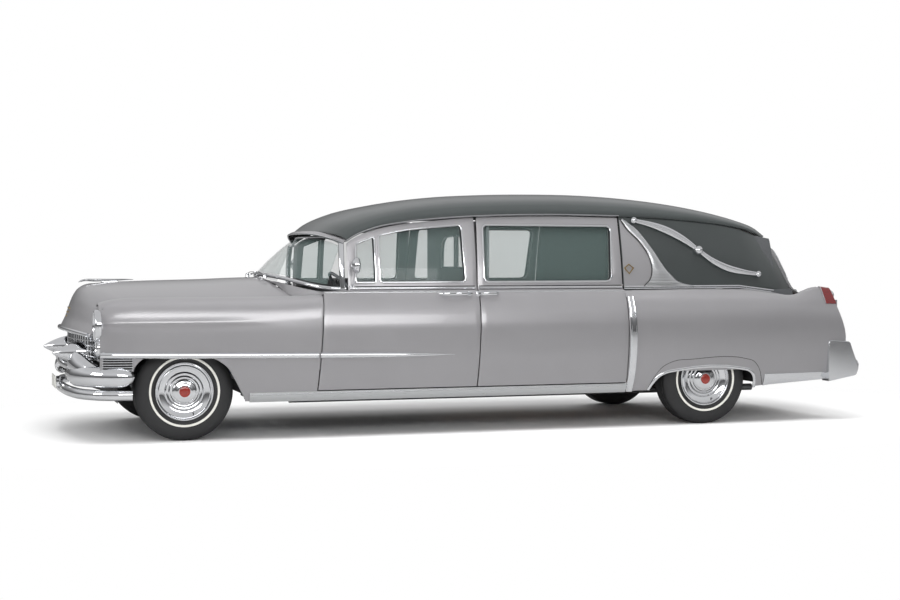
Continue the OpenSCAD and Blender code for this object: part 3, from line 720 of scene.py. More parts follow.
def wood():
    """Varnished boards along the car."""
    f = Finish("varnished_wood", (0.27, 0.13, 0.06), 0.35, 0.0, 0.5, Coat_Roughness=0.12)
    grain = f.noise(26.0, 5.0, (1, 0.06, 1))
    boards = f.node("ShaderNodeTexWave", {"bands_direction": "X"}, {
        "Vector": f.place(), "Scale": 2.3})
    f.shade(grain * 0.8 + boards * 0.2, 0.5, 1.5)
    f.set("Roughness", grain * 0.15 + 0.26)
    f.bump(grain, 0.15, 0.0005)
    return f.material


def cloth(name, tone, scale=420.0):
    """Woven broadcloth."""
    f = Finish(name, tone, 0.85, 0.0, 0.0, Sheen_Weight=0.3, Sheen_Roughness=0.5)
    weave = [f.node("ShaderNodeTexWave", {"bands_direction": way}, {
        "Vector": f.place(), "Scale": scale, "Distortion": 0.6}) for way in "XZ"]
    threads = weave[0] * 0.5 + weave[1] * 0.5
    f.shade(threads * 0.5 + f.noise(9.0, 4.0) * 0.5, 0.75, 1.25)
    f.set("Roughness", threads * 0.1 + 0.8)
    f.bump(threads, 0.3, 0.0005)
    return f.material


def red_disc():
    f = Finish("red_enamel", (0.24, 0.02, 0.012), 0.2, 0.0, 0.8, Coat_Roughness=0.04)
    f.shade(f.noise(60.0), 0.85, 1.15)
    return f.material


def gilt():
    f = Finish("gilt", (0.62, 0.42, 0.12), 0.22, 1.0)
    f.shade(f.noise(90.0), 0.85, 1.12)
    f.set("Roughness", f.noise(70.0) * 0.1 + 0.17)
    return f.material


FINISHES = {}


def make_finishes(sizes):
    paint = sizes.paint
    FINISHES.update(
        silver=silver_paint(paint.silver), charcoal=charcoal_paint(paint.charcoal),
        chrome=chrome("chrome"), satin=chrome("satin_chrome", 0.2), brushed=brushed(),
        tyre=rubber(), seal=rubber("door_seal", (0.012, 0.012, 0.013)), whitewall=whitewall(),
        glass=window_glass(paint.glass),
        chassis=painted("chassis_black", (0.02, 0.02, 0.021), 0.5),
        # Near-black painted shade for the visor's underside, the openings behind the front bumper
        # and grille, and the louvre openings; the same black also draws the skirt's seam line.
        recess=painted("dark_recess", (0.008, 0.008, 0.009), 0.7),
        iron=painted("engine_paint", (0.05, 0.08, 0.14), 0.5, 0.2, 30.0, 0.3),
        steel=painted("bare_steel", (0.3, 0.3, 0.31), 0.45, 0.9, 90.0, 0.1),
        red=lens("red_lens", (0.11, 0.002, 0.003)), clear=clear_lens(), wood=wood(),
        seat=cloth("seat_cloth", (0.17, 0.18, 0.2)),
        lining=cloth("lining_cloth", (0.27, 0.28, 0.29)),
        drape=cloth("dark_lining", (0.035, 0.038, 0.042)),
        trim=painted("trim_grey", (0.13, 0.14, 0.15), 0.45, 0.0, 300.0, 0.12),
        plastic=painted("wheel_plastic", (0.2, 0.21, 0.22), 0.25, 0.0, 200.0, 0.04),
        disc=red_disc(), gilt=gilt(), blank=painted("plate_blank", (0.55, 0.55, 0.52), 0.4),
    )


# ---- Body ----
def fender_section(y):
    c, s = crown_at(y), plan_at(y)
    low = [(side_x(y, z), y, z) for z in (SILL_Z, 330, 440, 560, 680, 800)]
    return low + [(990 + s, y, c - 130), (972 + s, y, c - 70), (938 + s, y, c - 28),
                  (885 + s, y, c - 4), (830 + s * 0.8, y, c), (780 + s * 0.5, y, c - 8),
                  (HOOD_HALF + SHUT_GAP, y, c - 26)]


def build_fenders(sizes):
    """Front fenders, with the crease along their flank and the wheel arch cut."""
    stations = [-2868, -2840, -2800, -2680, -2560, -2420, -2280, -2140, -2000, -1860, -1700, -1540,
                -1430, -1348]
    grid = smooth_grid([fender_section(y) for y in stations], 4, 5)
    for row in grid:
        for p in row:
            fade = clamp((-1650 - p.y) / 500) * clamp((p.x - 900) / 60)
            p.x += sizes.crease / MM * math.exp(-((p.z - 832) / 15) ** 2) * fade
            k = clamp((p.y + 1700) / 352)
            shift = door_front_at(min(p.z, 1040)) + 1348 if p.z < 1046 else 48
            p.y += (shift - SHUT_GAP) * k
    piece = panel("fender", grid, 9)
    cut(piece, rounded(ARCH_FRONT, 8))
    cut(piece, [(-2950, 60), (-2600, 60), (-2600, 500), (-2950, 500)])
    soften(piece)
    fit_pair(piece, "fender_skin", "body", "silver",
             "front_fender_SIDE")
    lip = [Vector((side_x(y, max(z, SILL_Z)) - 6, y, z)) for y, z in rounded(ARCH_FRONT, 8)
           if z > 262]
    fit_pair(sweep("lip", smooth_line(lip, 2), ring(14, 12), (1, 0, 0)), "front_arch_lip", "body",
             "silver")


def build_hood(sizes):
    """Hood and nose, its chrome lip, ornament and a plain gilt bar."""
    rows = smooth_grid([[hood_point(row, x) for x in spread(-HOOD_HALF, HOOD_HALF, 25)]
                        for row in HOOD], 5, 2)
    piece = soften(panel("hood_skin", rows, 10, 300))
    fit(piece, "hood", "silver", "hood")
    lip = [hood_point(HOOD[0], x) + Vector((0, -2, 4)) for x in spread(-706, 706, 41)]
    fit(sweep("hood_lip", lip, ring(26, 30, 12)), "hood", "chrome")
    stations = [(-2925, 1094, 5), (-2905, 1103, 16), (-2800, 1108, 24), (-2690, 1109, 20),
                (-2600, 1112, 14), (-2525, 1112, 5)]
    path = smooth_line([(0, y, z + 4) for y, z, _ in stations], 5)
    size = [p.x for p in smooth_line([(s, 0, 0) for _, _, s in stations], 5)]
    spear = sweep("ornament", path, ring(2.0, 0.9, 12), scale=size)
    wings = [sweep("wing", [(s * 4, -2880, 1112), (s * 70, -2800, 1112), (s * 96, -2740, 1110)],
                   ring(26, 5, 10), scale=[1, 0.8, 0.2]) for s in (-1, 1)]
    foot = block("foot", (-9, -2760, 1084), (9, -2640, 1108), 4)
    fit(joined("hood_ornament", [spear, foot, *wings]), "hood", "chrome")
    ribs = []
    for k, half in enumerate((78, 56, 34)):
        z = 905 - k * 30
        ribs.append(sweep("rib", [(x, -2997 - (905 - z) * 0.3 + x * x * 0.00027, z + 6)
                                  for x in spread(-half, half, 7)], ring(9, 12, 8)))
    fit(joined("nose_ornament", ribs), "hood", "gilt")


def build_cowl(sizes):
    """Cowl below the windshield, with its air grille, wipers and the firewall."""
    rows = both_ways(SCREEN)

    def strip(row, t):
        x = abs(row[0]) * 0.96
        u = min(x / HOOD_HALF, 1)
        front = hood_point(HOOD[-1], x) + Vector((0, SHUT_GAP, 0))
        if x > HOOD_HALF:
            front = Vector((x, -1450 + (x - HOOD_HALF) * 0.9, 1004))
        back = Vector((x, row[1] - 26, row[2] - 18))
        p = front.lerp(back, t)
        return Vector((math.copysign(p.x, row[0]) if row[0] else 0, p.y,
                       p.z + 4 * math.sin(math.pi * t)))

    grid = smooth_grid([[strip(row, t) for row in rows] for t in (0, 0.35, 0.7, 1)], 3, 4)
    fit(panel("cowl_skin", grid, 8, 300), "body", "silver", "cowl")
    fit(block("firewall", (-700, -1440, 250), (700, -1426, 1000), 6), "body", "chassis")
    slats = [block("slat", (x - 3, -1598, 1126 - abs(x) * 0.05),
                   (x + 3, -1584, 1136 - abs(x) * 0.05), 1, 1) for x in range(-200, 201, 20)]
    fit(joined("cowl_vent", slats), "body", "chrome")
    arms = []
    for s in (-1, 1):
        pivot = Vector((s * 330, -1598, 1133))
        tip = Vector((s * 60, -1590, 1163))
        arms.append(turned("pivot", [(0, 26), (10, 24), (15, 10), (16, -8), (0, -8)], pivot, "Z",
                           1, 24))
        arms.append(sweep("arm", smooth_line([pivot + Vector((0, 0, 20)), pivot.lerp(tip, 0.5)
                          + Vector((0, -8, 20)), tip + Vector((0, 0, 8))], 6), ring(9, 5, 8)))
        arms.append(sweep("blade", [tip + Vector((s * 210, 4, -14)), tip + Vector((0, 4, 2)),
                                    tip + Vector((-s * 40, 4, 4))], ring(7, 14, 8)))
    fit(joined("wipers", arms), "body", "chrome")


def build_roof(sizes):
    """Roof, visor, drip rails and headlining."""
    grid = []
    for row in ROOF:
        line = []
        for a in (0, 8, 18, 30, 44, 60, 76, 90):
            c = math.cos(math.radians(a)) ** 0.8 if a < 90 else 0
            s = math.sin(math.radians(a)) ** 0.9
            line.append(Vector((row[1] * c, mix(row[0], row[3], s * s), mix(row[2], row[4], s))))
        line = smooth_line(line, 4)
        grid.append(line[:-1] + [Vector((-p.x, p.y, p.z)) for p in reversed(line)])
    columns = [smooth_line(column, 5) for column in zip(*grid)]
    grid = [list(row) for row in zip(*columns)]
    piece = soften(panel("roof_skin", grid, 12, 900))
    fit(piece, "body", "charcoal", "roof")
    lining = moved_in(grid, 22, 900)
    fit(panel("headlining", [row[4:-4] for row in lining[8:-3]], 5, 900), "body", "lining")
    xs = spread(-800, 800, 41)

    def visor_line(x, out):
        u = abs(x) / 800
        return Vector((x, -1244 + 136 * u ** 1.7 - out * (1 - 0.75 * u ** 4),
                       1478 - 78 * u ** 3.2 - out * 0.3))
    top = [[visor_line(x, out) + Vector((0, 0, 10 * math.sin(max(out, 0) / 60 * 3))) for x in xs]
           for out in (-34, -10, 10, 26, 42, 56)]
    fit(soften(slab("visor", top, (0, 0, -7)), 1.5), "body", "silver")
    edge = [visor_line(x, 57) + Vector((0, 0, -2)) for x in xs]
    fit(sweep("visor_rim", edge, ring(12, 12, 10)), "body", "chrome")
    # A near-black sheet just under the visor: painted shade for its dark underside.
    shade = [[p - Vector((0, 0, 9)) for p in row] for row in top]
    fit(slab("visor_painted_shade", shade, (0, 0, -2)), "body",
        "recess")
    rail = smooth_line([(row[1] + 4, row[0], row[2] + 1) for row in ROOF[:8]], 6)
    fit_pair(sweep("rail", rail, ring(15, 11, 10)), "drip_rail", "body", "chrome")
    seam = smooth_line([(row[1] + 2, row[0], row[2] - 2) for row in ROOF[7:]], 6)
    fit_pair(sweep("seam", seam, ring(12, 8, 8)), "roof_seam", "body", "charcoal")


def build_windshield(sizes):
    """Windshield surround and its garnish."""
    parts = []
    for v, wide, tall, rows in ((0.034, 30, 28, SCREEN), (0.958, 24, 20, SCREEN[:-1])):
        path = smooth_line([screen_point(row, v, -10) for row in both_ways(rows)], 5)
        parts.append(sweep("rail", path, ring(wide, tall, 12)))
    fit(joined("windshield_rails", parts), "body", "chrome", "windshield_frame")
    post = [screen_point(SCREEN[6], v) + Vector((-10, -22, 0))
            for v in (0.03, 0.2, 0.4, 0.6, 0.8, 0.97)]
    fit_pair(sweep("post", smooth_line(post, 4), ring(36, 40, 14, 0.8), (0, 1, 0)),
             "windshield_post", "body", "chrome")


def patch_grid(front, rear, lift, rows=24, columns=8):
    """Grid on the upper quarter between two lines of place and height."""
    front, rear = smooth_line(front, 12), smooth_line(rear, 12)

    def at(line, t):
        k = t * (len(line) - 1)
        i = min(int(k), len(line) - 2)
        return line[i].lerp(line[i + 1], k - i)
    grid = []
    for t in spread(0, 1, rows):
        a, b = at(front, t), at(rear, t)
        line = []
        for s in spread(0, 1, columns):
            p = a.lerp(b, s)
            line.append(Vector((landau_x(p.x, p.y) + lift, p.x, p.y)))
        grid.append(line)
    return grid


D_LINE = [(1062, 1560), (1103, 1500), (1204, 1395), (1280, 1265), (1290, 1190), (1272, 1120),
          (1214, 1062)]
SWEEP_LINE = [(1072, 1572), (1160, 1512), (1298, 1345), (1408, 1185), (1510, 1092), (1650, 1058)]


def build_landau(sizes):
    """Upper quarters with the silver panel, the brushed moulding and the landau bars."""
    grid = []
    for row in LANDAU:
        line = []
        for v in (0, 0.2, 0.4, 0.6, 0.8, 1):
            bow = 10 * math.sin(math.pi * v)
            p = Vector(row[:3]).lerp(Vector(row[3:]), v)
            line.append(p + Vector((bow, bow * clamp((row[1] - 2000) / 500), 0)))
        grid.append(line)
    piece = soften(panel("landau", smooth_grid(grid, 6, 4), 12, 1250))
    fit_pair(piece, "landau_skin", "body", "charcoal",
             "landau_panel_SIDE")
    front = [(1050, 1566), (1050, 1400), (1050, 1250), (1050, 1056)]
    fit_pair(panel("d_panel", patch_grid(front, D_LINE, 4), 3, 1250), "quarter_window_panel",
             "body", "silver")
    grid = patch_grid(D_LINE, SWEEP_LINE, 8, 60, 9)
    for row in grid:
        for k, p in enumerate(row):
            ribs = clamp((1185 - p.z) / 10) * clamp((p.z - 1072) / 10)
            p.x += 3 * ribs * abs(math.sin(p.z * math.pi / 22)) + 6 * math.sin(math.pi * k / 8)
    fit_pair(panel("sweep", grid, 5, 1250), "landau_moulding", "body", "brushed")
    for line, name in ((D_LINE, "panel_edge"), (SWEEP_LINE, "moulding_edge")):
        path = [Vector((landau_x(y, z) + 9, y, z)) for y, z in smooth_line(line, 8)]
        finish = "seal" if line is D_LINE else "chrome"
        fit_pair(sweep("edge", path, ring(7, 6, 8), (1, 0, 0)), name, "body", finish)
    badge = [(1095, 1228), (1132, 1200), (1095, 1158), (1058, 1200)]
    path = [Vector((landau_x(y, z) + 10, y, z)) for y, z in badge]
    gem = sweep("gem", path, ring(9, 8, 8), (1, 0, 0), loop=True)
    fit_pair(gem, "quarter_ornament", "body", "gilt")
    bar = [(1163, 1562), (1300, 1533), (1432, 1490), (1590, 1410), (1697, 1337), (1813, 1258),
           (1960, 1195), (2090, 1168), (2232, 1150)]
    path = smooth_line([(landau_x(y, z) + 26, y, z) for y, z in bar], 8)
    n = len(path) - 1
    size = [0.62 + 0.5 * math.sin(math.pi * clamp(k / n * 1.9)) ** 2 if k / n < 0.52
            else 0.62 + 0.42 * math.sin(math.pi * clamp((k / n - 0.5) * 2)) ** 2
            for k in range(n + 1)]
    parts = [sweep("bar", path, ring(46, 18, 14, 0.8), (1, 0, 0), scale=size)]
    parts.append(sweep("rib", [p + Vector((9, 0, 0)) for p in path], ring(12, 8, 8), (1, 0, 0),
                       scale=size))
    for k, r in ((0, 26), (n // 2, 36), (n, 26)):
        knob = [(0, r), (r * 0.5, r * 0.86), (r * 0.87, r * 0.5), (r, 0), (r * 0.87, -r * 0.5),
                (r * 0.55, -r * 0.9), (r * 0.5, -34), (0, -34)]
        parts.append(turned("knob", knob, path[k], "X", 1, 28))
    fit_pair(joined("landau_bar", parts), "landau_bar", "body", "chrome")
    both = joined("landau_fixings", [block("fixing", (s * 790 - 6, 1694, 1330),
                                           (s * 790 + 6, 1700, 1344), 1) for s in (-1, 1)])
    fit(both, "body", "chrome", "landau_bars")


# ---- Doors ----
def door_outline(front, z, up):
    """Front and rear edge of a door at a height."""
    def middle(side):
        return door_mid_at(z) + side * (SHUT_GAP / 2 + 8 * clamp((z - 1045) / 500))
    if front:
        return (PILLAR_A if up else door_front_at(z)), middle(-1)
    return middle(1), DOOR_REAR


def door_face(front, rows, inset, depth):
    """Grid of one face of a door, its outline drawn in and moved into the car."""
    grid = []
    for t in spread(0, 1, rows):
        line = []
        for z0 in [340, 352] + spread(372, 1016, 26) + [1026, 1036]:
            a, b = door_outline(front, z0, False)
            y, z = mix(a + inset, b - inset, t), max(z0, DOOR_BOTTOM + inset * 0.6)
            line.append(Vector((side_x(y, z) - depth, y, z)))
        for v in spread(0, 1, 14):
            a, b = door_outline(front, mix(1046, 1500, v), True)
            y = mix(a + inset, b - inset, t)
            z = mix(1046, door_top_at(y) - inset * 0.6, v)
            line.append(Vector((glass_at(z) - depth, y, z)))
        grid.append(line)
    return grid


def window_trim(outline, width=13, height=9, lift=2):
    """Bright frame round a window."""
    path = [Vector((glass_at(z) + lift, y, z)) for y, z in outline]
    return sweep("frame", path, ring(width, height, 8, 0.7), (1, 0, 0.2), loop=True)


def window_seal(outline, draw=5):
    """Rubber channel just inside a window's frame."""
    middle = sum(outline, Vector((0, 0))) / len(outline)
    path = []
    for p in outline:
        p = p + (middle - p).normalized() * draw
        path.append(Vector((glass_at(p.y) - 14, p.x, p.y)))
    return sweep("seal", path, ring(9, 22, 8, 0.6), (1, 0, 0.2), loop=True)


def side_strip(name, y0, y1, z_at, x_at, width, height, count=40, taper=False):
    """Bright strip along the body side."""
    ys = spread(y0, y1, count)
    path = [Vector((x_at(y, z_at(y)), y, z_at(y))) for y in ys]
    scale = [clamp(1 - (k / (count - 1)) ** 3, 0.1) for k in range(count)] if taper else None
    return sweep(name, path, moulding(width, height), scale=scale)


def belt_x(y, z):
    return glass_at(1052) + 2


def spear_z(y):
    return straight([(-2860, 613), (-1345, 590), (-332, 578)])(y)


DOORS = {  # windows, rows of the grid, strip ends
    "front": ((FRONT_WINDOW, VENT_WINDOW), 30, (-1098, -144)),
    "rear": ((REAR_WINDOW,), 28, (-118, 1030)),
}


def build_doors(sizes):
    """Side doors with their window frames, seals, belt strips, linings and handles."""
    for which, (windows, rows, (y0, y1)) in DOORS.items():
        front = which == "front"
        body = which + "_door_SIDE"
        piece = closed_shell("door", door_face(front, rows, 0, 0),
                             door_face(front, rows, DOOR_INSET, DOOR_DEPTH))
        for window in windows:
            cut(piece, rounded(window))
        soften(piece, 2.0)
        fit_pair(piece, which + "_door_skin", body, "silver", body)
        frames = joined("frames", [window_trim(rounded(w)) for w in windows])
        fit_pair(frames, which + "_window_frame", body, "chrome")
        seals = joined("seals", [window_seal(rounded(w)) for w in windows])
        fit_pair(seals, which + "_window_seal", body, "seal")
        groove = [side_strip("groove", y0 + 6, y1 - 6, straight([(0, z), (1, z)]), belt_x, 5, 3)
                  for z in (1044, 1071)]
        fit_pair(joined("groove", groove), which + "_door_groove", body, "seal")
        strips = [side_strip("belt", y0, y1, lambda y: 1058, belt_x, 20, 9),
                  side_strip("belt", y0 - (190 if front else 0), y1, lambda y: 1028,
                             lambda y, z: side_x(y, z) - 1, 9, 5)]
        fit_pair(joined("belt", strips), which + "_door_belt", body, "chrome")
        span = [y0 + 30 if not front else -1230, y1 - 34]
        lining = grid_of(lambda y, z: (side_x(y, z) - DOOR_DEPTH - 3, y, z), spread(*span, 24),
                         spread(430, 1010, 16))
        fit_pair(slab("lining", lining, (-5, 0, 0)),
                 which + "_door_lining", body, "trim")
        build_handle(which, body)
    strip = side_strip("spear", -1340, -340, spear_z, side_x, 42, 17, 60, True)
    fit_pair(strip, "door_spear", "front_door_SIDE", "chrome")
    strip = side_strip("spear", -2862, -1356, spear_z, side_x, 44, 18, 60)
    fit_pair(strip, "fender_spear", "body", "chrome")


def build_handle(which, body):
    """Pull handle with its push button towards the middle shut line."""
    way = 1 if which == "front" else -1
    button, far, z = (-212, -436, 1014) if which == "front" else (-130, 16, 1014)
    x = side_x(button, z)
    path = smooth_line([(x + 2, button, z), (x + 26, button - way * 22, z + 2),
                        (x + 34, mix(button, far, 0.5), z + 3), (x + 26, far + way * 22, z + 2),
                        (x + 2, far, z)], 6)
    parts = [sweep("grip", path, ring(14, 24, 12, 0.8))]
    parts.append(turned("button", [(0, 36), (9, 35), (12, 28), (12, 10), (20, 6), (22, -6),
                                   (0, -6)], (x, button + way * 8, z), "X", 1, 24))
    fit_pair(joined("handle", parts), which + "_door_handle", body, "chrome")


# ---- Quarters and tail ----
def quarter_section(row):
    y = row[0]
    low, s = straight(QUARTER_LOW)(y), plan_at(y)
    flank = [(side_x(y, z), y, z) for z in (low, 360, 480, 600, 720, 830, 900)]
    return flank + [(958 + s, y, row[1]), (922 + s, y, row[2]), (922 + s - row[3], y, row[4]),
                    (row[5], y, row[6])]


def quarter_grid():
    grid = smooth_grid([quarter_section(row) for row in QUARTER], 6, 5)
    for line in grid:
        for p in line:
            p.y += clamp((p.y - 2600) / 260) * (fin_edge_at(p.z) - 2860)
    return grid


def build_quarters(sizes):
    """Quarter panels with the wheel opening, skirt line, lip, sill strip and gravel guard."""
    grid = quarter_grid()
    piece = panel("quarter", grid, 9, 600)
    cut(piece, ARCH_REAR, 500, 1100)
    soften(piece)
    fit_pair(piece, "quarter_skin", "body", "silver",
             "quarter_panel_SIDE")
    lip = smooth_line([(side_x(y, z), y, z + 8) for y, z in ARCH_REAR[1:-1]], 4)
    fit_pair(sweep("lip", lip, ring(24, 13, 10, 0.8), (1, 0, 0)), "rear_arch_lip", "body",
             "chrome")
    line = [(1220, 276), (1262, 370), (1330, 452), (1440, 498), (1553, 505), (2023, 504),
            (2110, 480), (2160, 425), (2190, 350), (2207, 292)]
    path = [Vector((side_x(y, z), y, z)) for y, z in smooth_line(line, 8)]
    fit_pair(sweep("line", path, ring(4, 3, 6), (1, 0, 0)), "skirt_line", "body", "recess")
    strip = [[Vector((side_x(y, z) + 4 + 4 * math.sin(math.pi * k / 6), y, z)) for k, z in
              enumerate(spread(straight(QUARTER_LOW)(y) - 4, 376 + (y - 2215) * 0.006, 7))]
             for y in spread(2215, 2790, 30)]
    fit_pair(panel("strip", strip, 5, 600), "quarter_sill_strip", "body", "satin")
    guard = smooth_line([(side_x(1078, z), 1072 + 10 * math.sin((z - 270) / 700 * 3.1), z)
                         for z in (270, 380, 500, 620, 740, 860, 940, 985)], 5)
    parts = [sweep("guard", guard, ring(56, 20, 16, 0.8), (1, 0, 0))]
    parts += [sweep("rib", [p + Vector((8, dy, 0)) for p in guard], ring(9, 12, 8), (1, 0, 0))
              for dy in (-17, 17)]
    fit_pair(joined("guard", parts), "gravel_guard", "body", "chrome")
    ys = spread(1046, 2560, 60)
    belts = []
    for z, lift, width, height in ((1061, 1, 14, 8), (1046, 3, 10, 6)):
        belts.append(sweep("belt", [Vector((landau_x(y, z - clamp((y - 2050) / 500) * 60) + lift,
                                            y, z - clamp((y - 2050) / 500) * 60)) for y in ys],
                           moulding(width, height)))
    fit_pair(joined("belt", belts), "quarter_belt", "body", "chrome")


def build_tail(sizes):
    """Rear corner panels, valance and the lamps in the fins."""
    grid = grid_of(lambda z, x: (x, max(rear_face_at(z) - ((x - 606) / 300) ** 2 * 14, 2886), z),
                   spread(330, 945, 14), spread(604, 905, 9))
    fit_pair(slab("corner", grid, (0, -12, 0)), "rear_corner_skin", "body", "silver",
             "rear_panels")
    fit(block("rear_valance", (-606, 2930, 345), (606, 2946, 652), 4), "body", "silver")
    rows = [row for row in quarter_grid() if row[-6].y > 2745]
    lens_rows, bezel = [], []
    for row in rows:
        part = [p for p in row if p.z > 908 and p.x > 800]
        count = min(len(part), 24)
        lens_rows.append(smooth_line(part, 2)[:2 * count - 1])
    width = min(len(row) for row in lens_rows)
    lens_rows = [row[-width:] for row in lens_rows]
    outer = moved_in(lens_rows, -4, 950)
    fit_pair(closed_shell("lens", outer, moved_in(lens_rows, 6, 950)), "fin_lens", "body",
             "red")
    fit_pair(sweep("bezel", [p + Vector((2, 0, 0)) for p in outer[0]], ring(8, 8, 8), (0, 1, 0)),
             "fin_lens_rim", "body", "chrome")
    lamp = turned("lamp", [(0, 24), (14, 22), (25, 16), (31, 8), (33, 0), (33, -20), (0, -20)],
                  (846, 2862, 982), "Y", 1, 40)
    fit_pair(lamp, "tail_lamp", "body", "red")
    small = block("small_lamp", (868, 2790, 868), (896, 2888, 904), 8)
    fit_pair(small, "fin_side_lamp", "body", "satin")
    keep = turned("lamp_cup", [(0, -22), (37, -22), (38, 2), (35, 6), (34, 2), (34, -14),
                               (0, -14)], (846, 2862, 982), "Y", 1, 40)
    fit_pair(keep, "tail_lamp_cup", "body", "chrome", "tail_lamps")


def build_rear_bumper(sizes):
    """Rear bumper with its ends, ports and plate carrier."""
    path = smooth_line([(-890, 3010, 425), (-800, 3062, 425), (-600, 3106, 425), (-300, 3130, 425),
                        (0, 3135, 425), (300, 3130, 425), (600, 3106, 425), (800, 3062, 425),
                        (890, 3010, 425)], 7)
    section = smooth_outline([(22, -88), (-14, -86), (-34, -50), (-40, 0), (-30, 44), (-34, 62),
                              (-14, 82), (22, 80)], 3)
    fit(sweep("rear_bumper_bar", path, section), "body", "chrome", "rear_bumper")
    profile = rounded([(2784, 306, 8), (3034, 350, 20), (3058, 412, 24), (3010, 520, 80),
                       (2974, 618, 20), (2784, 630, 30)], 5)
    pod = soften(prism("pod", profile, 856, 956), 16, 5, 30)
    fit_pair(pod, "rear_bumper_end", "body", "satin", None, 18)
    port = turned("port", [(0, 2), (30, 2), (32, 12), (40, 14), (42, 6), (40, -14), (0, -14)],
                  (900, 3050, 430), "Y", 1, 32)
    fit_pair(port, "exhaust_port", "body", "chrome")
    plate = block("rear_plate_carrier", (-160, 3166, 332), (160, 3172, 419), 2)
    fit(plate, "body", "blank")
    legs = [block("leg", (s * 140 - 8, 3120, 340), (s * 140 + 8, 3168, 400), 2) for s in (-1, 1)]
    fit(joined("rear_plate_legs", legs), "body", "chrome")


def tail_y(x, z):
    t = clamp((z - 930) / 120)
    return tail_at(z) - mix(95, 240, t * t * (3 - 2 * t)) * (abs(x) / 580) ** 2


def load_face(inset, depth):
    grid = []
    for z0 in spread(660, LOAD_DOOR_TOP, 40):
        z = clamp(z0, 660 + inset, LOAD_DOOR_TOP - inset)
        half = LOAD_DOOR_HALF - 16 * clamp((z - 1050) / 350)
        line = []
        for u in spread(-1, 1, 29):
            x = u * (half - inset)
            drop = 0.25 * depth * clamp((z - 1050) / 200) if z > 1050 else 0
            line.append(Vector((x, tail_y(x, z) - depth, z - drop)))
        grid.append(line)
    return grid


def build_load_door(sizes):
    """Load door with its header, window frame, handle, lining and a bright ledge."""
    header = grid_of(lambda z, x: (x, tail_y(x, z), z), (LOAD_DOOR_TOP + 8, 1428, 1448),
                     spread(-566, 566, 29))
    fit(panel("rear_header", header, 12, 1000), "body", "charcoal")
    piece = closed_shell("load_door_skin", load_face(0, 0), load_face(26, 58))
    outline = rounded(LOAD_WINDOW)
    cut(piece, outline, 2300, 3100, "Y")
    soften(piece, 2.0)
    fit(piece, "load_door", "silver", "load_door")
    path = [Vector((x, tail_y(x, z) + 1, z)) for x, z in outline]
    fit(sweep("load_window_frame", path, ring(16, 10, 8, 0.7), (0, 1, 0.5), loop=True),
        "load_door", "chrome")
    parts = [sweep("grip", smooth_line([(-80, 2950, 900), (-60, 2978, 900), (0, 2984, 902),
                                        (60, 2978, 900), (80, 2950, 900)], 5), ring(14, 20, 12))]
    parts.append(turned("lock", [(0, 14), (12, 13), (15, 4), (15, -6), (0, -6)], (0, 2948, 850),
                        "Y"))
    fit(joined("load_door_handle", parts), "load_door", "chrome")
    ledge = [Vector((x, tail_y(x, 1010) + 1, 1010)) for x in spread(-560, 560, 41)]
    fit(sweep("load_door_ledge", ledge, [(-b, a) for a, b in ring(18, 12, 10)]), "load_door",
        "chrome")
    inner = grid_of(lambda z, x: (x, tail_y(x, z) - 62, z), spread(700, 1060, 12),
                    spread(-500, 500, 21))
    fit(slab("load_door_lining", inner, (0, -5, 0)), "load_door",
        "trim")


# ---- Front ----
def build_front_bumper(sizes):
    """Front bumper: blade, torpedo bars, bullets, domes and a near-black sheet in the plate's
    recess as painted shade.
    """
    rail = [(-955, -2650), (-935, -2760), (-880, -2870), (-760, -2960), (-500, -3028),
            (-250, -3052), (0, -3060)]
    rail = rail + [(-x, y) for x, y in rail[-2::-1]]
    blade = smooth_outline([(-16, 26), (12, 24), (26, 8), (30, -14), (22, -36), (-4, -46),
                            (-20, -38), (-20, 6)], 2)
    path = smooth_line([(x, y, 345) for x, y in rail], 6)
    fit(sweep("bumper_blade", path, blade), "body", "chrome", "front_bumper")
    bar = smooth_line([(430, -3034, 452), (560, -3014, 454), (700, -2980, 456), (820, -2918, 458),
                       (900, -2830, 458), (940, -2730, 458), (952, -2636, 458)], 8)
    n = len(bar) - 1
    size = [0.55 + 0.45 * clamp(k / n * 4) if k / n < 0.8 else
            math.sqrt(max(1 - ((k / n - 0.8) / 0.2) ** 2, 0.004)) for k in range(n + 1)]
    fit_pair(sweep("torpedo", bar, ring(106, 142, 24), scale=size), "torpedo_bar", "body",
             "chrome")
    bullet = [(0, 112), (7, 108), (18, 92), (34, 62), (52, 22), (66, -18), (76, -60), (80, -105),
              (80, -150), (76, -185), (60, -190), (0, -190)]
    bullet = smooth_outline(bullet[:10], 3) + bullet[10:]
    fit_pair(turned("bullet", bullet, (450, -3038, 605), "Y", -1, 48), "bumper_bullet", "body",
             "chrome")
    dome = smooth_line([(440, -3000, 500), (520, -3002, 534), (600, -2986, 534), (690, -2956, 508),
                        (775, -2908, 482), (850, -2840, 466)], 6)
    m = len(dome) - 1
    lump = [0.5 + 0.5 * math.sin(math.pi * clamp(k / m, 0.02, 0.98)) for k in range(m + 1)]
    fit_pair(sweep("dome", dome, ring(128, 178, 24), scale=lump), "bumper_dome", "body",
             "chrome")
    bridge = smooth_line([(x, -3046 + x * x * 0.00011, 505) for x in spread(-440, 440, 9)], 3)
    fit(sweep("bumper_bridge", bridge, ring(44, 46, 16, 0.8)), "body", "chrome")
    # Near-black sheet behind the bumper between blade and bridge: painted shade in the recess.
    back = grid_of(lambda z, x: (x, -3012 + x * x * 0.0001, z), (380, 440, 490),
                   spread(-430, 430, 9))
    fit(slab("bumper_recess", back, (0, 6, 0)),
        "body", "recess")
    plate = block("front_plate_carrier", (-160, -3110, 332), (160, -3102, 419), 2)
    fit(plate, "body", "blank")
    legs = [block("leg", (s * 140 - 8, -3103, 345), (s * 140 + 8, -3056, 400), 2) for s in (-1, 1)]
    fit(joined("front_plate_legs", legs), "body", "chrome")


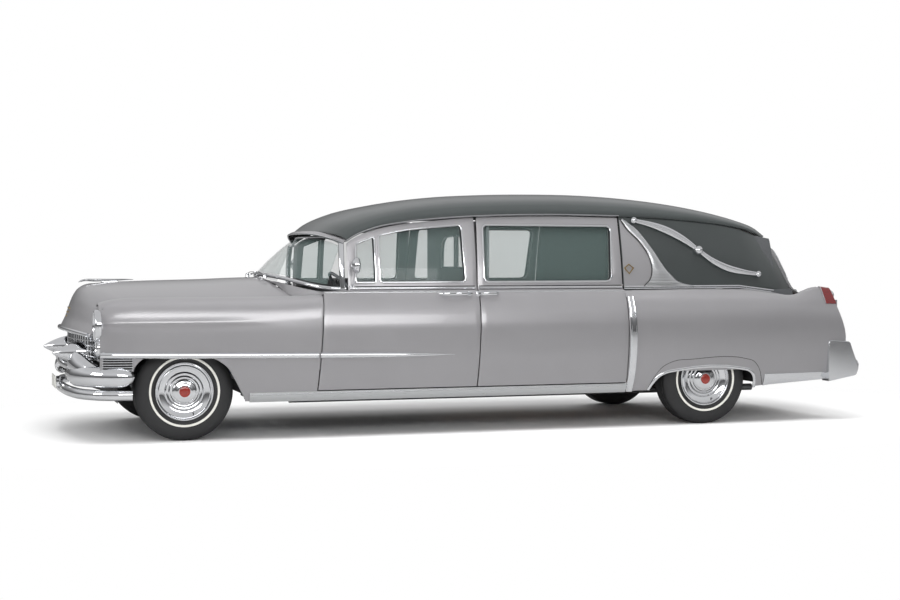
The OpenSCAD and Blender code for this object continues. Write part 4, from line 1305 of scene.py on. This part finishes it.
def build_grille(sizes):
    """Egg-crate grille with a near-black sheet behind it as painted shade, and the fender louvres
    over a painted-shade patch.
    """
    def front_y(x):
        return -2990 + 150 * (x / 720) ** 2
    parts = []
    for z in (585, 622, 659, 696, 733):
        parts.append(sweep("bar", [(x, front_y(x), z) for x in spread(-690, 690, 31)],
                           [(-b, a) for a, b in ring(9, 30, 8, 0.7)]))
    for x in range(-675, 676, 45):
        y = front_y(x)
        parts.append(block("tooth", (x - 3, y - 12, 560), (x + 3, y + 22, 752), 1.5, 1))
    fit(joined("egg_crate", parts), "body", "chrome", "grille")
    # Near-black sheet behind the egg crate: painted shade for the dark inside of the grille
    # opening.
    back = grid_of(lambda z, x: (x, front_y(x) + 42, z), spread(470, 780, 6),
                   spread(-712, 712, 21))
    fit(slab("grille_painted_shade", back, (0, 8, 0)),
        "body", "recess")
    apron = grid_of(lambda z, x: (x, front_y(x) + 70 + (470 - z) * 0.5, z), spread(330, 470, 5),
                    spread(-700, 700, 21))
    fit(slab("front_apron", apron, (0, 6, 0)),
        "body", "chassis")
    # A near-black patch laid on the fender's surface under the louvre bars: painted shade of the
    # louvre openings.
    recess = grid_of(lambda y, z: (side_x(y, z) + 1, y, z), spread(-2846, -2654, 12),
                     spread(502, 590, 8))
    fit_pair(panel("recess", recess, 4), "louvre_recess", "body", "recess")
    bars = []
    for z in spread(512, 580, 5):
        bars.append(sweep("louvre", [Vector((side_x(y, z) + 2, y, z))
                                     for y in spread(-2850, -2650, 12)], moulding(9, 9)))
    fit_pair(joined("louvres", bars), "fender_louvres", "body", "satin")


def build_lamps(sizes):
    """Headlamps and parking lamps on their bright surround."""
    centre = (842, -2868, 810)
    bezel = [(84, -6), (86, 16), (92, 28), (100, 32), (107, 26), (111, 10), (112, -10), (104, -14)]
    bezel = smooth_outline(bezel, 3)
    fit_pair(turned("bezel", bezel + [(84, -14), (84, -6)], centre, "Y", -1, 64), "headlamp_rim",
             "body", "chrome", "headlamps")
    glass = [(0, 24), (28, 23), (54, 18), (76, 10), (86, 0), (86, -10), (0, -10)]
    fit_pair(turned("lens", glass, centre, "Y", -1, 64), "headlamp_lens", "body", "clear")
    low = (838, -2862, 655)
    rim = [(40, -4), (42, 14), (50, 24), (60, 20), (64, 4), (64, -10), (40, -10), (40, -4)]
    fit_pair(turned("rim", rim, low, "Y", -1, 48), "parking_lamp_rim", "body", "chrome")
    glass = [(0, 20), (20, 18), (36, 8), (42, -4), (0, -4)]
    fit_pair(turned("lens", glass, low, "Y", -1, 48), "parking_lamp_lens", "body",
             "clear")
    plate = grid_of(lambda z, x: (x, -2866 + 14 * ((x - 690) / 190) ** 2, z),
                    spread(560, 930, 14), spread(700, 896, 9))
    fit_pair(slab("plate", plate, (0, 10, 0)),
             "lamp_surround", "body", "chrome")


# ---- Wheels ----
TYRE = [(206, -62), (208, -84), (222, -92), (240, -97), (262, -100), (290, -99), (312, -94),
        (328, -86), (337, -78)]
TREAD = [(343, -72), (345, -66), (345, -48), (339, -45), (339, -41), (345, -38), (345, -16),
         (339, -13), (339, -9), (345, -6)]


def build_wheels(sizes):
    """Tyres with a cut tread and narrow white ring, ringed covers with a plain red middle."""
    left = TYRE + TREAD
    profile = left + [(r, -a) for r, a in reversed(left)]
    steps = sizes.tread_steps
    for axle, (x0, y0) in WHEELS.items():
        rows = []
        for k in range(steps):
            a = math.tau * k / steps
            zig = 3.5 * (1 - 4 * abs((k / 4) % 1 - 0.5))
            rows.append([Vector((x0 + w + (zig if r > 338 and abs(w) < 60 else 0),
                                 y0 + r * math.cos(a), TYRE_R + r * math.sin(a))) for r,
                         w in profile])
        m = len(profile)
        faces = [(k * m + j, k * m + j + 1, ((k + 1) % steps) * m + j + 1,
                  ((k + 1) % steps) * m + j) for k in range(steps) for j in range(m - 1)]
        faces += [(k * m + m - 1, k * m, ((k + 1) % steps) * m, ((k + 1) % steps) * m + m - 1)
                  for k in range(steps)]
        body = "wheel_" + axle + "_SIDE"
        tyre = mesh_piece("tyre", [p for row in rows for p in row], faces)
        fit_pair(tyre, "tyre_" + axle, body, "tyre", "tyre_" + axle + "_SIDE")
        centre = (x0, y0, TYRE_R)
        band = [(232, 92), (233, 98.5), (236, 99.6), (243, 101), (247, 101), (248.5, 98),
                (248, 92)]
        fit_pair(turned("ring", band + band[:1], centre, "X", 1, 96), "whitewall_" + axle, body,
                 "whitewall")
        cover = [(205.5, -70), (205.5, 70), (206, 84), (203, 92), (198, 92), (194, 85), (188, 84),
                 (184, 88), (178, 90), (168, 84), (150, 74), (138, 72), (133, 77), (127, 80),
                 (121, 77), (112, 76), (107, 82), (101, 85), (94, 83), (86, 84), (80, 91),
                 (72, 95), (62, 96), (54, 100), (46, 103), (40, 103)]
        cover = cover + [(0, 103), (0, 10), (120, 10), (180, 20), (188, -70)]
        fit_pair(turned("cover", cover + cover[:1], centre, "X", 1, 96), "wheel_cover_" + axle,
                 body, "chrome", "wheel_" + axle + "_SIDE", 28)
        disc = [(0, 109), (20, 108), (34, 106), (39, 103), (39, 100), (0, 100)]
        fit_pair(turned("disc", disc, centre, "X", 1, 48), "cover_disc_" + axle, body,
                 "disc")
        stem = turned("valve", [(0, 14), (3, 14), (4, 4), (4, -12), (0, -12)],
                      (x0 + 88, y0 + 60, TYRE_R - 150), "X", 1, 12)
        fit_pair(stem, "valve_" + axle, body, "tyre")


def build_liners(sizes):
    """Inner fenders and wheelhouses."""
    spans = {"front": (FRONT_AXLE, 470, 492, 905, -8, 188),
             "rear": (REAR_AXLE, 425, 640, 905, -4, 184)}
    for axle, (y0, r, x0, x1, a0, a1) in spans.items():
        band = [[Vector((x, y0 + r * math.cos(math.radians(a)),
                         TYRE_R + r * 0.98 * math.sin(math.radians(a))))
                 for x in spread(x0, x1, 5)] for a in spread(a0, a1, 33)]
        wall = [[Vector((x0, mix(y0, p.y, t), mix(TYRE_R, p.z, t))) for t in (0.15, 0.5, 1)]
                for p in (row[0] for row in band)]
        parts = [slab("band", band, (0, 0, -4))]
        if axle == "front":
            wall = [[Vector((p.x, p.y, max(p.z, 520))) for p in row] for row in wall]
        parts.append(slab("wall", wall, (4, 0, 0)))
        fit_pair(joined("liner", parts), axle + "_wheel_liner", "body", "chassis")


# ---- Sills and mirrors ----
def build_sills(sizes):
    """Rocker mouldings, sill strips and the door mirrors."""
    grid = [[Vector((side_at(z) + plan_at(y) + 2 + 5 * math.sin(math.pi * k / 6), y, z))
             for k, z in enumerate(spread(264, 332, 7))] for y in spread(-1838, 1040, 60)]
    fit_pair(panel("rocker", grid, 6, 500), "rocker_moulding", "body", "brushed")
    line = side_strip("line", -1838, 1040, lambda y: 318, lambda y, z: side_x(y, z) + 5, 9, 6)
    fit_pair(line, "rocker_line", "body", "chrome")
    head = [(0, 16), (36, 15), (52, 9), (60, -2), (60, -9), (52, -20), (28, -38), (0, -44)]
    parts = [turned("head", head, (966, -1062, 1222), "Y", 1, 36)]
    parts.append(sweep("arm", smooth_line([(896, -1084, 1072), (926, -1080, 1092),
                                           (948, -1074, 1140), (958, -1070, 1180)], 6),
                       ring(13, 13, 10), (0, 1, 0)))
    parts.append(block("foot", (882, -1104, 1062), (906, -1058, 1078), 5))
    fit_pair(joined("mirror", parts), "door_mirror", "front_door_SIDE", "chrome")


# ---- Cabin ----
SEAT_PRESSURE = 4
SEAT_FRAMES = 20
SEAT_SWELL = 24
SEAT_CHANNEL = 115
CHANNEL_DEPTH = 8


def seat_part(name, outline, x_half, sizes):
    """Crowned cushion from its side outline, puffed up by Cloth with its own pressure."""
    piece = prism(name, rounded(outline, 5), -x_half, x_half)
    voxel = sizes.seat_voxel
    apply(piece, "REMESH", mode="VOXEL", voxel_size=voxel)
    before = [v.co.copy() for v in piece.data.vertices]
    only(piece)
    modifier = piece.modifiers.new("cloth", "CLOTH")
    modifier.settings.use_pressure = True
    modifier.settings.uniform_pressure_force = SEAT_PRESSURE
    modifier.settings.effector_weights.gravity = 0
    for k in range(1, SEAT_FRAMES + 1):
        bpy.context.scene.frame_set(k)
    bpy.ops.object.modifier_apply(modifier=modifier.name)
    bpy.context.scene.frame_set(1)
    for v, start in zip(piece.data.vertices, before):
        move = v.co - start
        if move.length > SEAT_SWELL * MM:
            v.co = start + move.normalized() * (SEAT_SWELL * MM)
    return piece


def build_cabin(sizes):
    """Front seat, dashboard, partition, column and the load space's lining."""
    cushion = seat_part("cushion", [(-300, 440, 20), (-770, 440, 20), (-785, 600, 50),
                                    (-560, 612, 60), (-290, 590, 20)], 690, sizes)
    back = seat_part("back", [(-285, 600, 20), (-190, 985, 50), (-90, 985, 40), (-190, 440, 20),
                              (-270, 440, 20)], 690, sizes)
    for piece, lift in ((cushion, Vector((0, 0, 1))), (back, Vector((0, -1, 0.25)).normalized())):
        for v in piece.data.vertices:
            if v.normal.dot(lift) > 0.4:
                u = (v.co.x / (SEAT_CHANNEL * MM)) % 1
                dip = 1 - min(abs(u - 0.5) * 2, 1)
                v.co -= lift * (CHANNEL_DEPTH * MM) * (1 - dip) ** 6
    for piece, name, node in ((cushion, "seat_cushion", "front_seat"), (back, "seat_back", None)):
        piece.name = name
        fit(piece, "body", "seat", node, 60)
    piping = sweep("seat_piping", [(x + 1, -180, 992) for x in spread(-680, 680, 15)],
                   ring(10, 10, 8))
    fit(piping, "body", "trim")
    frame_rail = block("seat_frame", (-700, -760, 352), (700, -230, 436), 10)
    fit(frame_rail, "body", "chassis")
    dash = prism("dash", rounded([(-1405, 842, 10), (-1405, 990, 20), (-1270, 1002, 50),
                                  (-1182, 984, 40), (-1190, 862, 30)], 6), -688, 688)
    fit(soften(dash, 6, 3), "body", "silver", "dashboard")
    dial = [turned("dial", [(0, 8), (60, 8), (70, 14), (76, 12), (78, 0), (0, 0)],
                   (x, -1188, 925), "Y") for x in (330, 470)]
    fit(joined("dials", dial), "body", "chrome")
    strip = sweep("dash_strip", [(x, -1190, 876) for x in spread(-680, 680, 9)], ring(8, 22, 8))
    fit(strip, "body", "chrome")
    hub = Vector((400, -1420 + 560 * math.sin(math.radians(50)),
                  640 + 560 * math.cos(math.radians(50))))
    along = Vector((0, math.sin(math.radians(50)), math.cos(math.radians(50))))
    column = sweep("steering_column", [hub - along * 545, hub - along * 220, hub - along * 30],
                   ring(56, 56, 24), (1, 0, 0))
    fit(column, "body", "trim")
    build_steering_wheel(hub, along)
    build_partition()
    sides = grid_of(lambda y, z: (landau_x(y, z) - 18, y, z), spread(1060, 2440, 30),
                    spread(1060, 1530, 12))
    for row in sides:
        for p in row:
            p.z = min(p.z, landau_top_z(p.y) - 16)
            p.x -= 3 * abs(math.sin(p.y * math.pi / 90))
    fit_pair(panel("lining", sides, 4, 1250), "load_side_lining", "body", "drape")
    low = grid_of(lambda y, z: (side_x(y, z) - 120, y, z), spread(1060, 2560, 20),
                  spread(645, 1030, 8))
    fit_pair(panel("lining", low, 4, 850), "load_low_lining", "body", "drape")


def build_steering_wheel(hub, along):
    """Steering wheel with a slim rim, two spokes and a bright horn ring."""
    side = Vector((1, 0, 0))
    up = along.cross(side)

    def circle(radius, height, count=64):
        return [hub + along * height + (side * math.cos(a) + up * math.sin(a)) * radius
                for a in (math.tau * k / count for k in range(count))]
    rim = sweep("steering_rim", circle(201, 12), ring(26, 24, 12), tuple(along), loop=True)
    fit(rim, "steering_wheel", "plastic", "steering_wheel")
    spokes = [sweep("spoke", [hub + side * (s * r) + along * h for r,
                              h in ((30, 8), (110, 4), (198, 12))], ring(26, 12, 10),
                    tuple(along), scale=[1.3, 1, 0.9]) for s in (-1, 1)]
    boss = sweep("boss", [hub + along * h for h in (-14, -6, 10, 22, 28)], ring(90, 90, 32),
                 (1, 0, 0), scale=[0.8, 1, 0.98, 0.7, 0.3])
    fit(joined("steering_spokes", [boss, *spokes]), "steering_wheel", "plastic")
    horn = sweep("horn_ring", circle(132, 18), ring(9, 9, 10), tuple(along), loop=True)
    fit(horn, "steering_wheel", "chrome")


def build_partition():
    y = 17
    piece = block("partition_wall", (-716, y - 11, 354), (716, y + 11, 1540), 3, 2)
    frames = []
    for s in (-1, 1):
        outline = rounded([(s * 18, 1200, 12), (s * 18, 1452, 30), (s * 330, 1440, 120),
                           (s * 350, 1200, 30)], 8)
        cut(piece, outline, y - 60, y + 60, "Y")
        frames.append(sweep("frame", [Vector((x, y - 13, z)) for x, z in outline], ring(16, 8, 8),
                            (0, 1, 0), loop=True))
    fit(piece, "body", "lining", "partition")
    fit(joined("partition_frames", frames), "body", "satin")


def build_load_floor(sizes):
    """Bright runners and rollers on the load floor."""
    z = 641
    runners = [block("runner", (x - 14, 120, z), (x + 14, 2820, z + 8), 3, 2)
               for x in (-330, 0, 330)]
    for y in range(300, 2800, 420):
        roller = turned("roller", [(0, 55), (11, 55), (13, 48), (13, -48), (11, -55), (0, -55)],
                        (0, y, z + 16), "X", 1, 16)
        for s in (-1, 1):
            twin = roller.copy()
            twin.data = roller.data.copy()
            bpy.context.scene.collection.objects.link(twin)
            twin.data.transform(Matrix.Translation((s * 0.165, 0, 0)))
            runners.append(twin)
        bpy.data.meshes.remove(roller.data)
    fit(joined("bier_runners", runners), "body", "chrome")


# ---- Kept nodes, stage and camera ----
KEPT = {
    "chassis": ("chassis_frame", "front_suspension", "rear_axle", "knuckle_left", "knuckle_right"),
    "iron": ("engine_block",),
    "steel": ("exhaust", "fuel_tank"),
    "wood": ("load_floor",),
    "seal": ("floor_pan",),
    "silver": ("center_pillars",),
    "glass": ("windshield_glass", "front_door_glass_left", "front_door_glass_right",
              "rear_door_glass_left", "rear_door_glass_right", "load_door_glass"),
}


CAMERA_PLACE = (11.426, -3.941, 1.269)
CAMERA_VIEW = (-0.9564, 0.2911, -0.0327)
CAMERA_LENS = 61.02
CAMERA_SHIFT = (0.0573, 0.0097)


def dress_frame(sizes):
    """Gives the kept nodes their finishes."""
    for finish, names in KEPT.items():
        for name in names:
            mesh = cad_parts[name].data
            mesh.materials.clear()
            mesh.materials.append(FINISHES[finish])


def make_stage(sizes):
    """Pale floor, soft lamps, world and the camera."""
    bpy.ops.object.select_all(action="DESELECT")
    bpy.ops.mesh.primitive_circle_add(vertices=96, radius=60, fill_type="NGON")
    floor = bpy.context.object
    floor.name = "stage_floor"
    f = Finish("floor", (0.88, 0.88, 0.88), 0.9)
    spot = f.node("ShaderNodeVectorMath", {"operation": "LENGTH"}, {0: f.place((0.55, 0.3, 1))}, 1)
    far = f.node("ShaderNodeMapRange", {"interpolation_type": "SMOOTHSTEP"}, {
        "Value": spot, "From Min": 0.75, "From Max": 1.5})
    camera_ray = f.node("ShaderNodeLightPath", output=0)
    glossy_ray = f.node("ShaderNodeLightPath", output=3)
    f.shade(glossy_ray, 1.0, 0.42)
    glow = f.node("ShaderNodeEmission", values={"Color": (1, 1, 1, 1), "Strength": 1.0})
    blend = f.tree.nodes.new("ShaderNodeMixShader")
    f.tree.links.new((far * camera_ray).socket, blend.inputs[0])
    f.tree.links.new(f.shader.outputs[0], blend.inputs[1])
    f.tree.links.new(glow.socket, blend.inputs[2])
    f.tree.links.new(blend.outputs[0], f.tree.nodes["Material Output"].inputs["Surface"])
    floor.data.materials.append(f.material)
    lamps = (  # name, place, aim, size, power
        ("top_box", (1.5, 0, 5.2), (0, 0, 0.8), (9.0, 2.6), 420),
        ("side_box", (8.5, -1.5, 3.4), (0, 0, 0.7), (8.0, 1.6), 210),
        ("nose_box", (2.5, -8.5, 3.2), (0, -2.4, 0.6), (3.0, 1.6), 110),
        ("back_box", (-7.5, 3.0, 4.0), (0, 0.5, 0.8), (8.0, 2.0), 160),
    )
    for name, place, aim, (wide, tall), power in lamps:
        data = bpy.data.lights.new(name, "AREA")
        data.shape = "RECTANGLE"
        data.size, data.size_y, data.energy = wide, tall, power
        lamp = bpy.data.objects.new(name, data)
        lamp.location = place
        turn = (Vector(aim) - Vector(place)).to_track_quat("-Z", "Y")
        if name == "top_box":
            turn = Matrix.Rotation(math.pi / 2, 3, "Z").to_quaternion()
        lamp.visible_glossy = name in ("side_box", "nose_box")
        lamp.rotation_euler = turn.to_euler()
        bpy.context.scene.collection.objects.link(lamp)
    make_world(sizes)
    make_camera()


def make_world(sizes):
    world = bpy.data.worlds.new("studio")
    bpy.context.scene.world = world
    world.use_nodes = True
    tree = world.node_tree
    ground = tree.nodes["Background"]
    ground.inputs["Strength"].default_value = 1.0
    coordinates = tree.nodes.new("ShaderNodeTexCoord")
    split = tree.nodes.new("ShaderNodeSeparateXYZ")
    ramp = tree.nodes.new("ShaderNodeValToRGB")
    stops = ((0.0, 0.5), (0.47, 0.5), (0.5, 0.1), (0.56, 0.16), (0.7, 0.62), (0.88, 0.55))
    for place, shade in stops[2:]:
        ramp.color_ramp.elements.new(place)
    for element, (place, shade) in zip(ramp.color_ramp.elements, stops):
        element.position = place
        element.color = (shade, shade, shade * 1.01, 1)
    half = Wire(tree, split.outputs[2]) * 0.5 + 0.5
    tree.links.new(coordinates.outputs["Generated"], split.inputs[0])
    tree.links.new(half.socket, ramp.inputs[0])
    tree.links.new(ramp.outputs[0], ground.inputs["Color"])
    white = tree.nodes.new("ShaderNodeBackground")
    white.inputs["Color"].default_value = (1, 1, 1, 1)
    plain = tree.nodes.new("ShaderNodeBackground")
    plain.inputs["Color"].default_value = (1, 1, 1, 1)
    plain.inputs["Strength"].default_value = sizes.world_level
    path = tree.nodes.new("ShaderNodeLightPath")
    surface = plain.outputs[0]
    for ray, other in (("Is Glossy Ray", ground), ("Is Camera Ray", white),
                       ("Is Transmission Ray", white)):
        mixer = tree.nodes.new("ShaderNodeMixShader")
        tree.links.new(path.outputs[ray], mixer.inputs[0])
        tree.links.new(surface, mixer.inputs[1])
        tree.links.new(other.outputs[0], mixer.inputs[2])
        surface = mixer.outputs[0]
    tree.links.new(surface, tree.nodes["World Output"].inputs["Surface"])


def make_camera():
    data = bpy.data.cameras.new("camera")
    data.lens, data.sensor_width = CAMERA_LENS, 36
    data.shift_x, data.shift_y = CAMERA_SHIFT
    data.clip_end = 200
    camera = bpy.data.objects.new("camera", data)
    camera.location = CAMERA_PLACE
    camera.rotation_euler = Vector(CAMERA_VIEW).to_track_quat("-Z", "Y").to_euler()
    bpy.context.scene.collection.objects.link(camera)
    bpy.context.scene.camera = camera
    bpy.context.scene.view_settings.view_transform = "Standard"


# ---- Add-on ----
class HearsePaint(bpy.types.PropertyGroup):
    silver: FloatVectorProperty(name="Silver", description="Colour of the body's paint",
                                subtype="COLOR", default=(0.30, 0.295, 0.305), min=0, max=1)
    charcoal: FloatVectorProperty(name="Charcoal", description="Colour of the roof's paint",
                                  subtype="COLOR", default=(0.034, 0.04, 0.04), min=0, max=1)
    glass: FloatVectorProperty(name="Glass", description="Tint of the windows",
                               subtype="COLOR", default=(0.16, 0.22, 0.21), min=0, max=1)


class HearseSizes(bpy.types.PropertyGroup):
    paint: PointerProperty(type=HearsePaint)
    crease: FloatProperty(name="Fender crease", description="How far the crease stands out",
                          default=0.007, min=0, max=0.012, unit="LENGTH")
    seat_voxel: FloatProperty(name="Seat voxel", description="Cell of the seat's remesh",
                              default=0.009, min=0.005, max=0.02, unit="LENGTH")
    tread_steps: IntProperty(name="Tread steps", description="Steps round a tyre's tread",
                             default=176, min=64, max=256)
    world_level: FloatProperty(name="World level", description="Strength of the surrounding light",
                               default=0.75, min=0, max=2)


class Step:
    """What every building step shares: it hands the scene's sizes to its function."""
    bl_options = {"REGISTER", "UNDO"}

    def execute(self, context):
        self.work(context.scene.hearse)
        return {"FINISHED"}


class HEARSE_OT_finishes(Step, bpy.types.Operator):
    """Make every material"""
    bl_idname = "hearse.finishes"
    bl_label = "Finishes"
    work = staticmethod(make_finishes)


class HEARSE_OT_stage(Step, bpy.types.Operator):
    """Add the floor, lamps, world and camera"""
    bl_idname = "hearse.stage"
    bl_label = "Stage"
    work = staticmethod(make_stage)


class HEARSE_OT_frame_finishes(Step, bpy.types.Operator):
    """Give the kept nodes their materials"""
    bl_idname = "hearse.frame_finishes"
    bl_label = "Frame finishes"
    work = staticmethod(dress_frame)


class HEARSE_OT_fenders(Step, bpy.types.Operator):
    """Add the front fenders"""
    bl_idname = "hearse.fenders"
    bl_label = "Fenders"
    work = staticmethod(build_fenders)


class HEARSE_OT_hood(Step, bpy.types.Operator):
    """Add the hood, its lip and ornaments"""
    bl_idname = "hearse.hood"
    bl_label = "Hood"
    work = staticmethod(build_hood)


class HEARSE_OT_cowl(Step, bpy.types.Operator):
    """Add the cowl, vent, wipers and firewall"""
    bl_idname = "hearse.cowl"
    bl_label = "Cowl"
    work = staticmethod(build_cowl)


class HEARSE_OT_roof(Step, bpy.types.Operator):
    """Add the roof, visor, drip rails and headlining"""
    bl_idname = "hearse.roof"
    bl_label = "Roof"
    work = staticmethod(build_roof)


class HEARSE_OT_windshield(Step, bpy.types.Operator):
    """Add the windshield's surround"""
    bl_idname = "hearse.windshield"
    bl_label = "Windshield"
    work = staticmethod(build_windshield)


class HEARSE_OT_landau(Step, bpy.types.Operator):
    """Add the upper quarters and landau bars"""
    bl_idname = "hearse.landau"
    bl_label = "Landau"
    work = staticmethod(build_landau)


class HEARSE_OT_doors(Step, bpy.types.Operator):
    """Add the side doors with their bright work"""
    bl_idname = "hearse.doors"
    bl_label = "Doors"
    work = staticmethod(build_doors)


class HEARSE_OT_quarters(Step, bpy.types.Operator):
    """Add the quarter panels and their trim"""
    bl_idname = "hearse.quarters"
    bl_label = "Quarters"
    work = staticmethod(build_quarters)


class HEARSE_OT_tail(Step, bpy.types.Operator):
    """Add the rear corners and lamps"""
    bl_idname = "hearse.tail"
    bl_label = "Tail"
    work = staticmethod(build_tail)


class HEARSE_OT_rear_bumper(Step, bpy.types.Operator):
    """Add the rear bumper and its plate carrier"""
    bl_idname = "hearse.rear_bumper"
    bl_label = "Rear bumper"
    work = staticmethod(build_rear_bumper)


class HEARSE_OT_load_door(Step, bpy.types.Operator):
    """Add the load door and its fittings"""
    bl_idname = "hearse.load_door"
    bl_label = "Load door"
    work = staticmethod(build_load_door)


class HEARSE_OT_front_bumper(Step, bpy.types.Operator):
    """Add the front bumper"""
    bl_idname = "hearse.front_bumper"
    bl_label = "Front bumper"
    work = staticmethod(build_front_bumper)


class HEARSE_OT_grille(Step, bpy.types.Operator):
    """Add the grille and the fender louvres"""
    bl_idname = "hearse.grille"
    bl_label = "Grille"
    work = staticmethod(build_grille)


class HEARSE_OT_lamps(Step, bpy.types.Operator):
    """Add the headlamps and parking lamps"""
    bl_idname = "hearse.lamps"
    bl_label = "Lamps"
    work = staticmethod(build_lamps)


class HEARSE_OT_wheels(Step, bpy.types.Operator):
    """Add the tyres and wheel covers"""
    bl_idname = "hearse.wheels"
    bl_label = "Wheels"
    work = staticmethod(build_wheels)


class HEARSE_OT_liners(Step, bpy.types.Operator):
    """Add the inner fenders and wheelhouses"""
    bl_idname = "hearse.liners"
    bl_label = "Liners"
    work = staticmethod(build_liners)


class HEARSE_OT_sills(Step, bpy.types.Operator):
    """Add the rocker mouldings and mirrors"""
    bl_idname = "hearse.sills"
    bl_label = "Sills"
    work = staticmethod(build_sills)


class HEARSE_OT_cabin(Step, bpy.types.Operator):
    """Add the seat, dashboard, steering wheel and linings"""
    bl_idname = "hearse.cabin"
    bl_label = "Cabin"
    work = staticmethod(build_cabin)


class HEARSE_OT_load_floor(Step, bpy.types.Operator):
    """Add the runners and rollers"""
    bl_idname = "hearse.load_floor"
    bl_label = "Load floor"
    work = staticmethod(build_load_floor)


STEPS = [
    HEARSE_OT_finishes, HEARSE_OT_stage, HEARSE_OT_frame_finishes, HEARSE_OT_fenders,
    HEARSE_OT_hood, HEARSE_OT_cowl, HEARSE_OT_roof, HEARSE_OT_windshield, HEARSE_OT_landau,
    HEARSE_OT_doors, HEARSE_OT_quarters, HEARSE_OT_tail, HEARSE_OT_rear_bumper,
    HEARSE_OT_load_door, HEARSE_OT_front_bumper, HEARSE_OT_grille, HEARSE_OT_lamps,
    HEARSE_OT_wheels, HEARSE_OT_liners, HEARSE_OT_sills, HEARSE_OT_cabin, HEARSE_OT_load_floor,
]


class HEARSE_PT_panel(bpy.types.Panel):
    """Lists the sizes and the building steps."""
    bl_label = "Hearse"
    bl_space_type = "VIEW_3D"
    bl_region_type = "UI"
    bl_category = "Hearse"

    def draw(self, context):
        sizes = context.scene.hearse
        for name in ("silver", "charcoal", "glass"):
            self.layout.prop(sizes.paint, name)
        for name in ("crease", "seat_voxel", "tread_steps", "world_level"):
            self.layout.prop(sizes, name)
        for operator in STEPS:
            self.layout.operator(operator.bl_idname)


CLASSES = [HearsePaint, HearseSizes, *STEPS, HEARSE_PT_panel]


def register():
    for cls in CLASSES:
        bpy.utils.register_class(cls)
    bpy.types.Scene.hearse = PointerProperty(type=HearseSizes)


def unregister():
    del bpy.types.Scene.hearse
    for cls in reversed(CLASSES):
        bpy.utils.unregister_class(cls)


def main():
    register()
    for operator in STEPS:
        getattr(bpy.ops.hearse, operator.bl_idname.split(".")[1])()


if __name__ == "__main__":
    main()
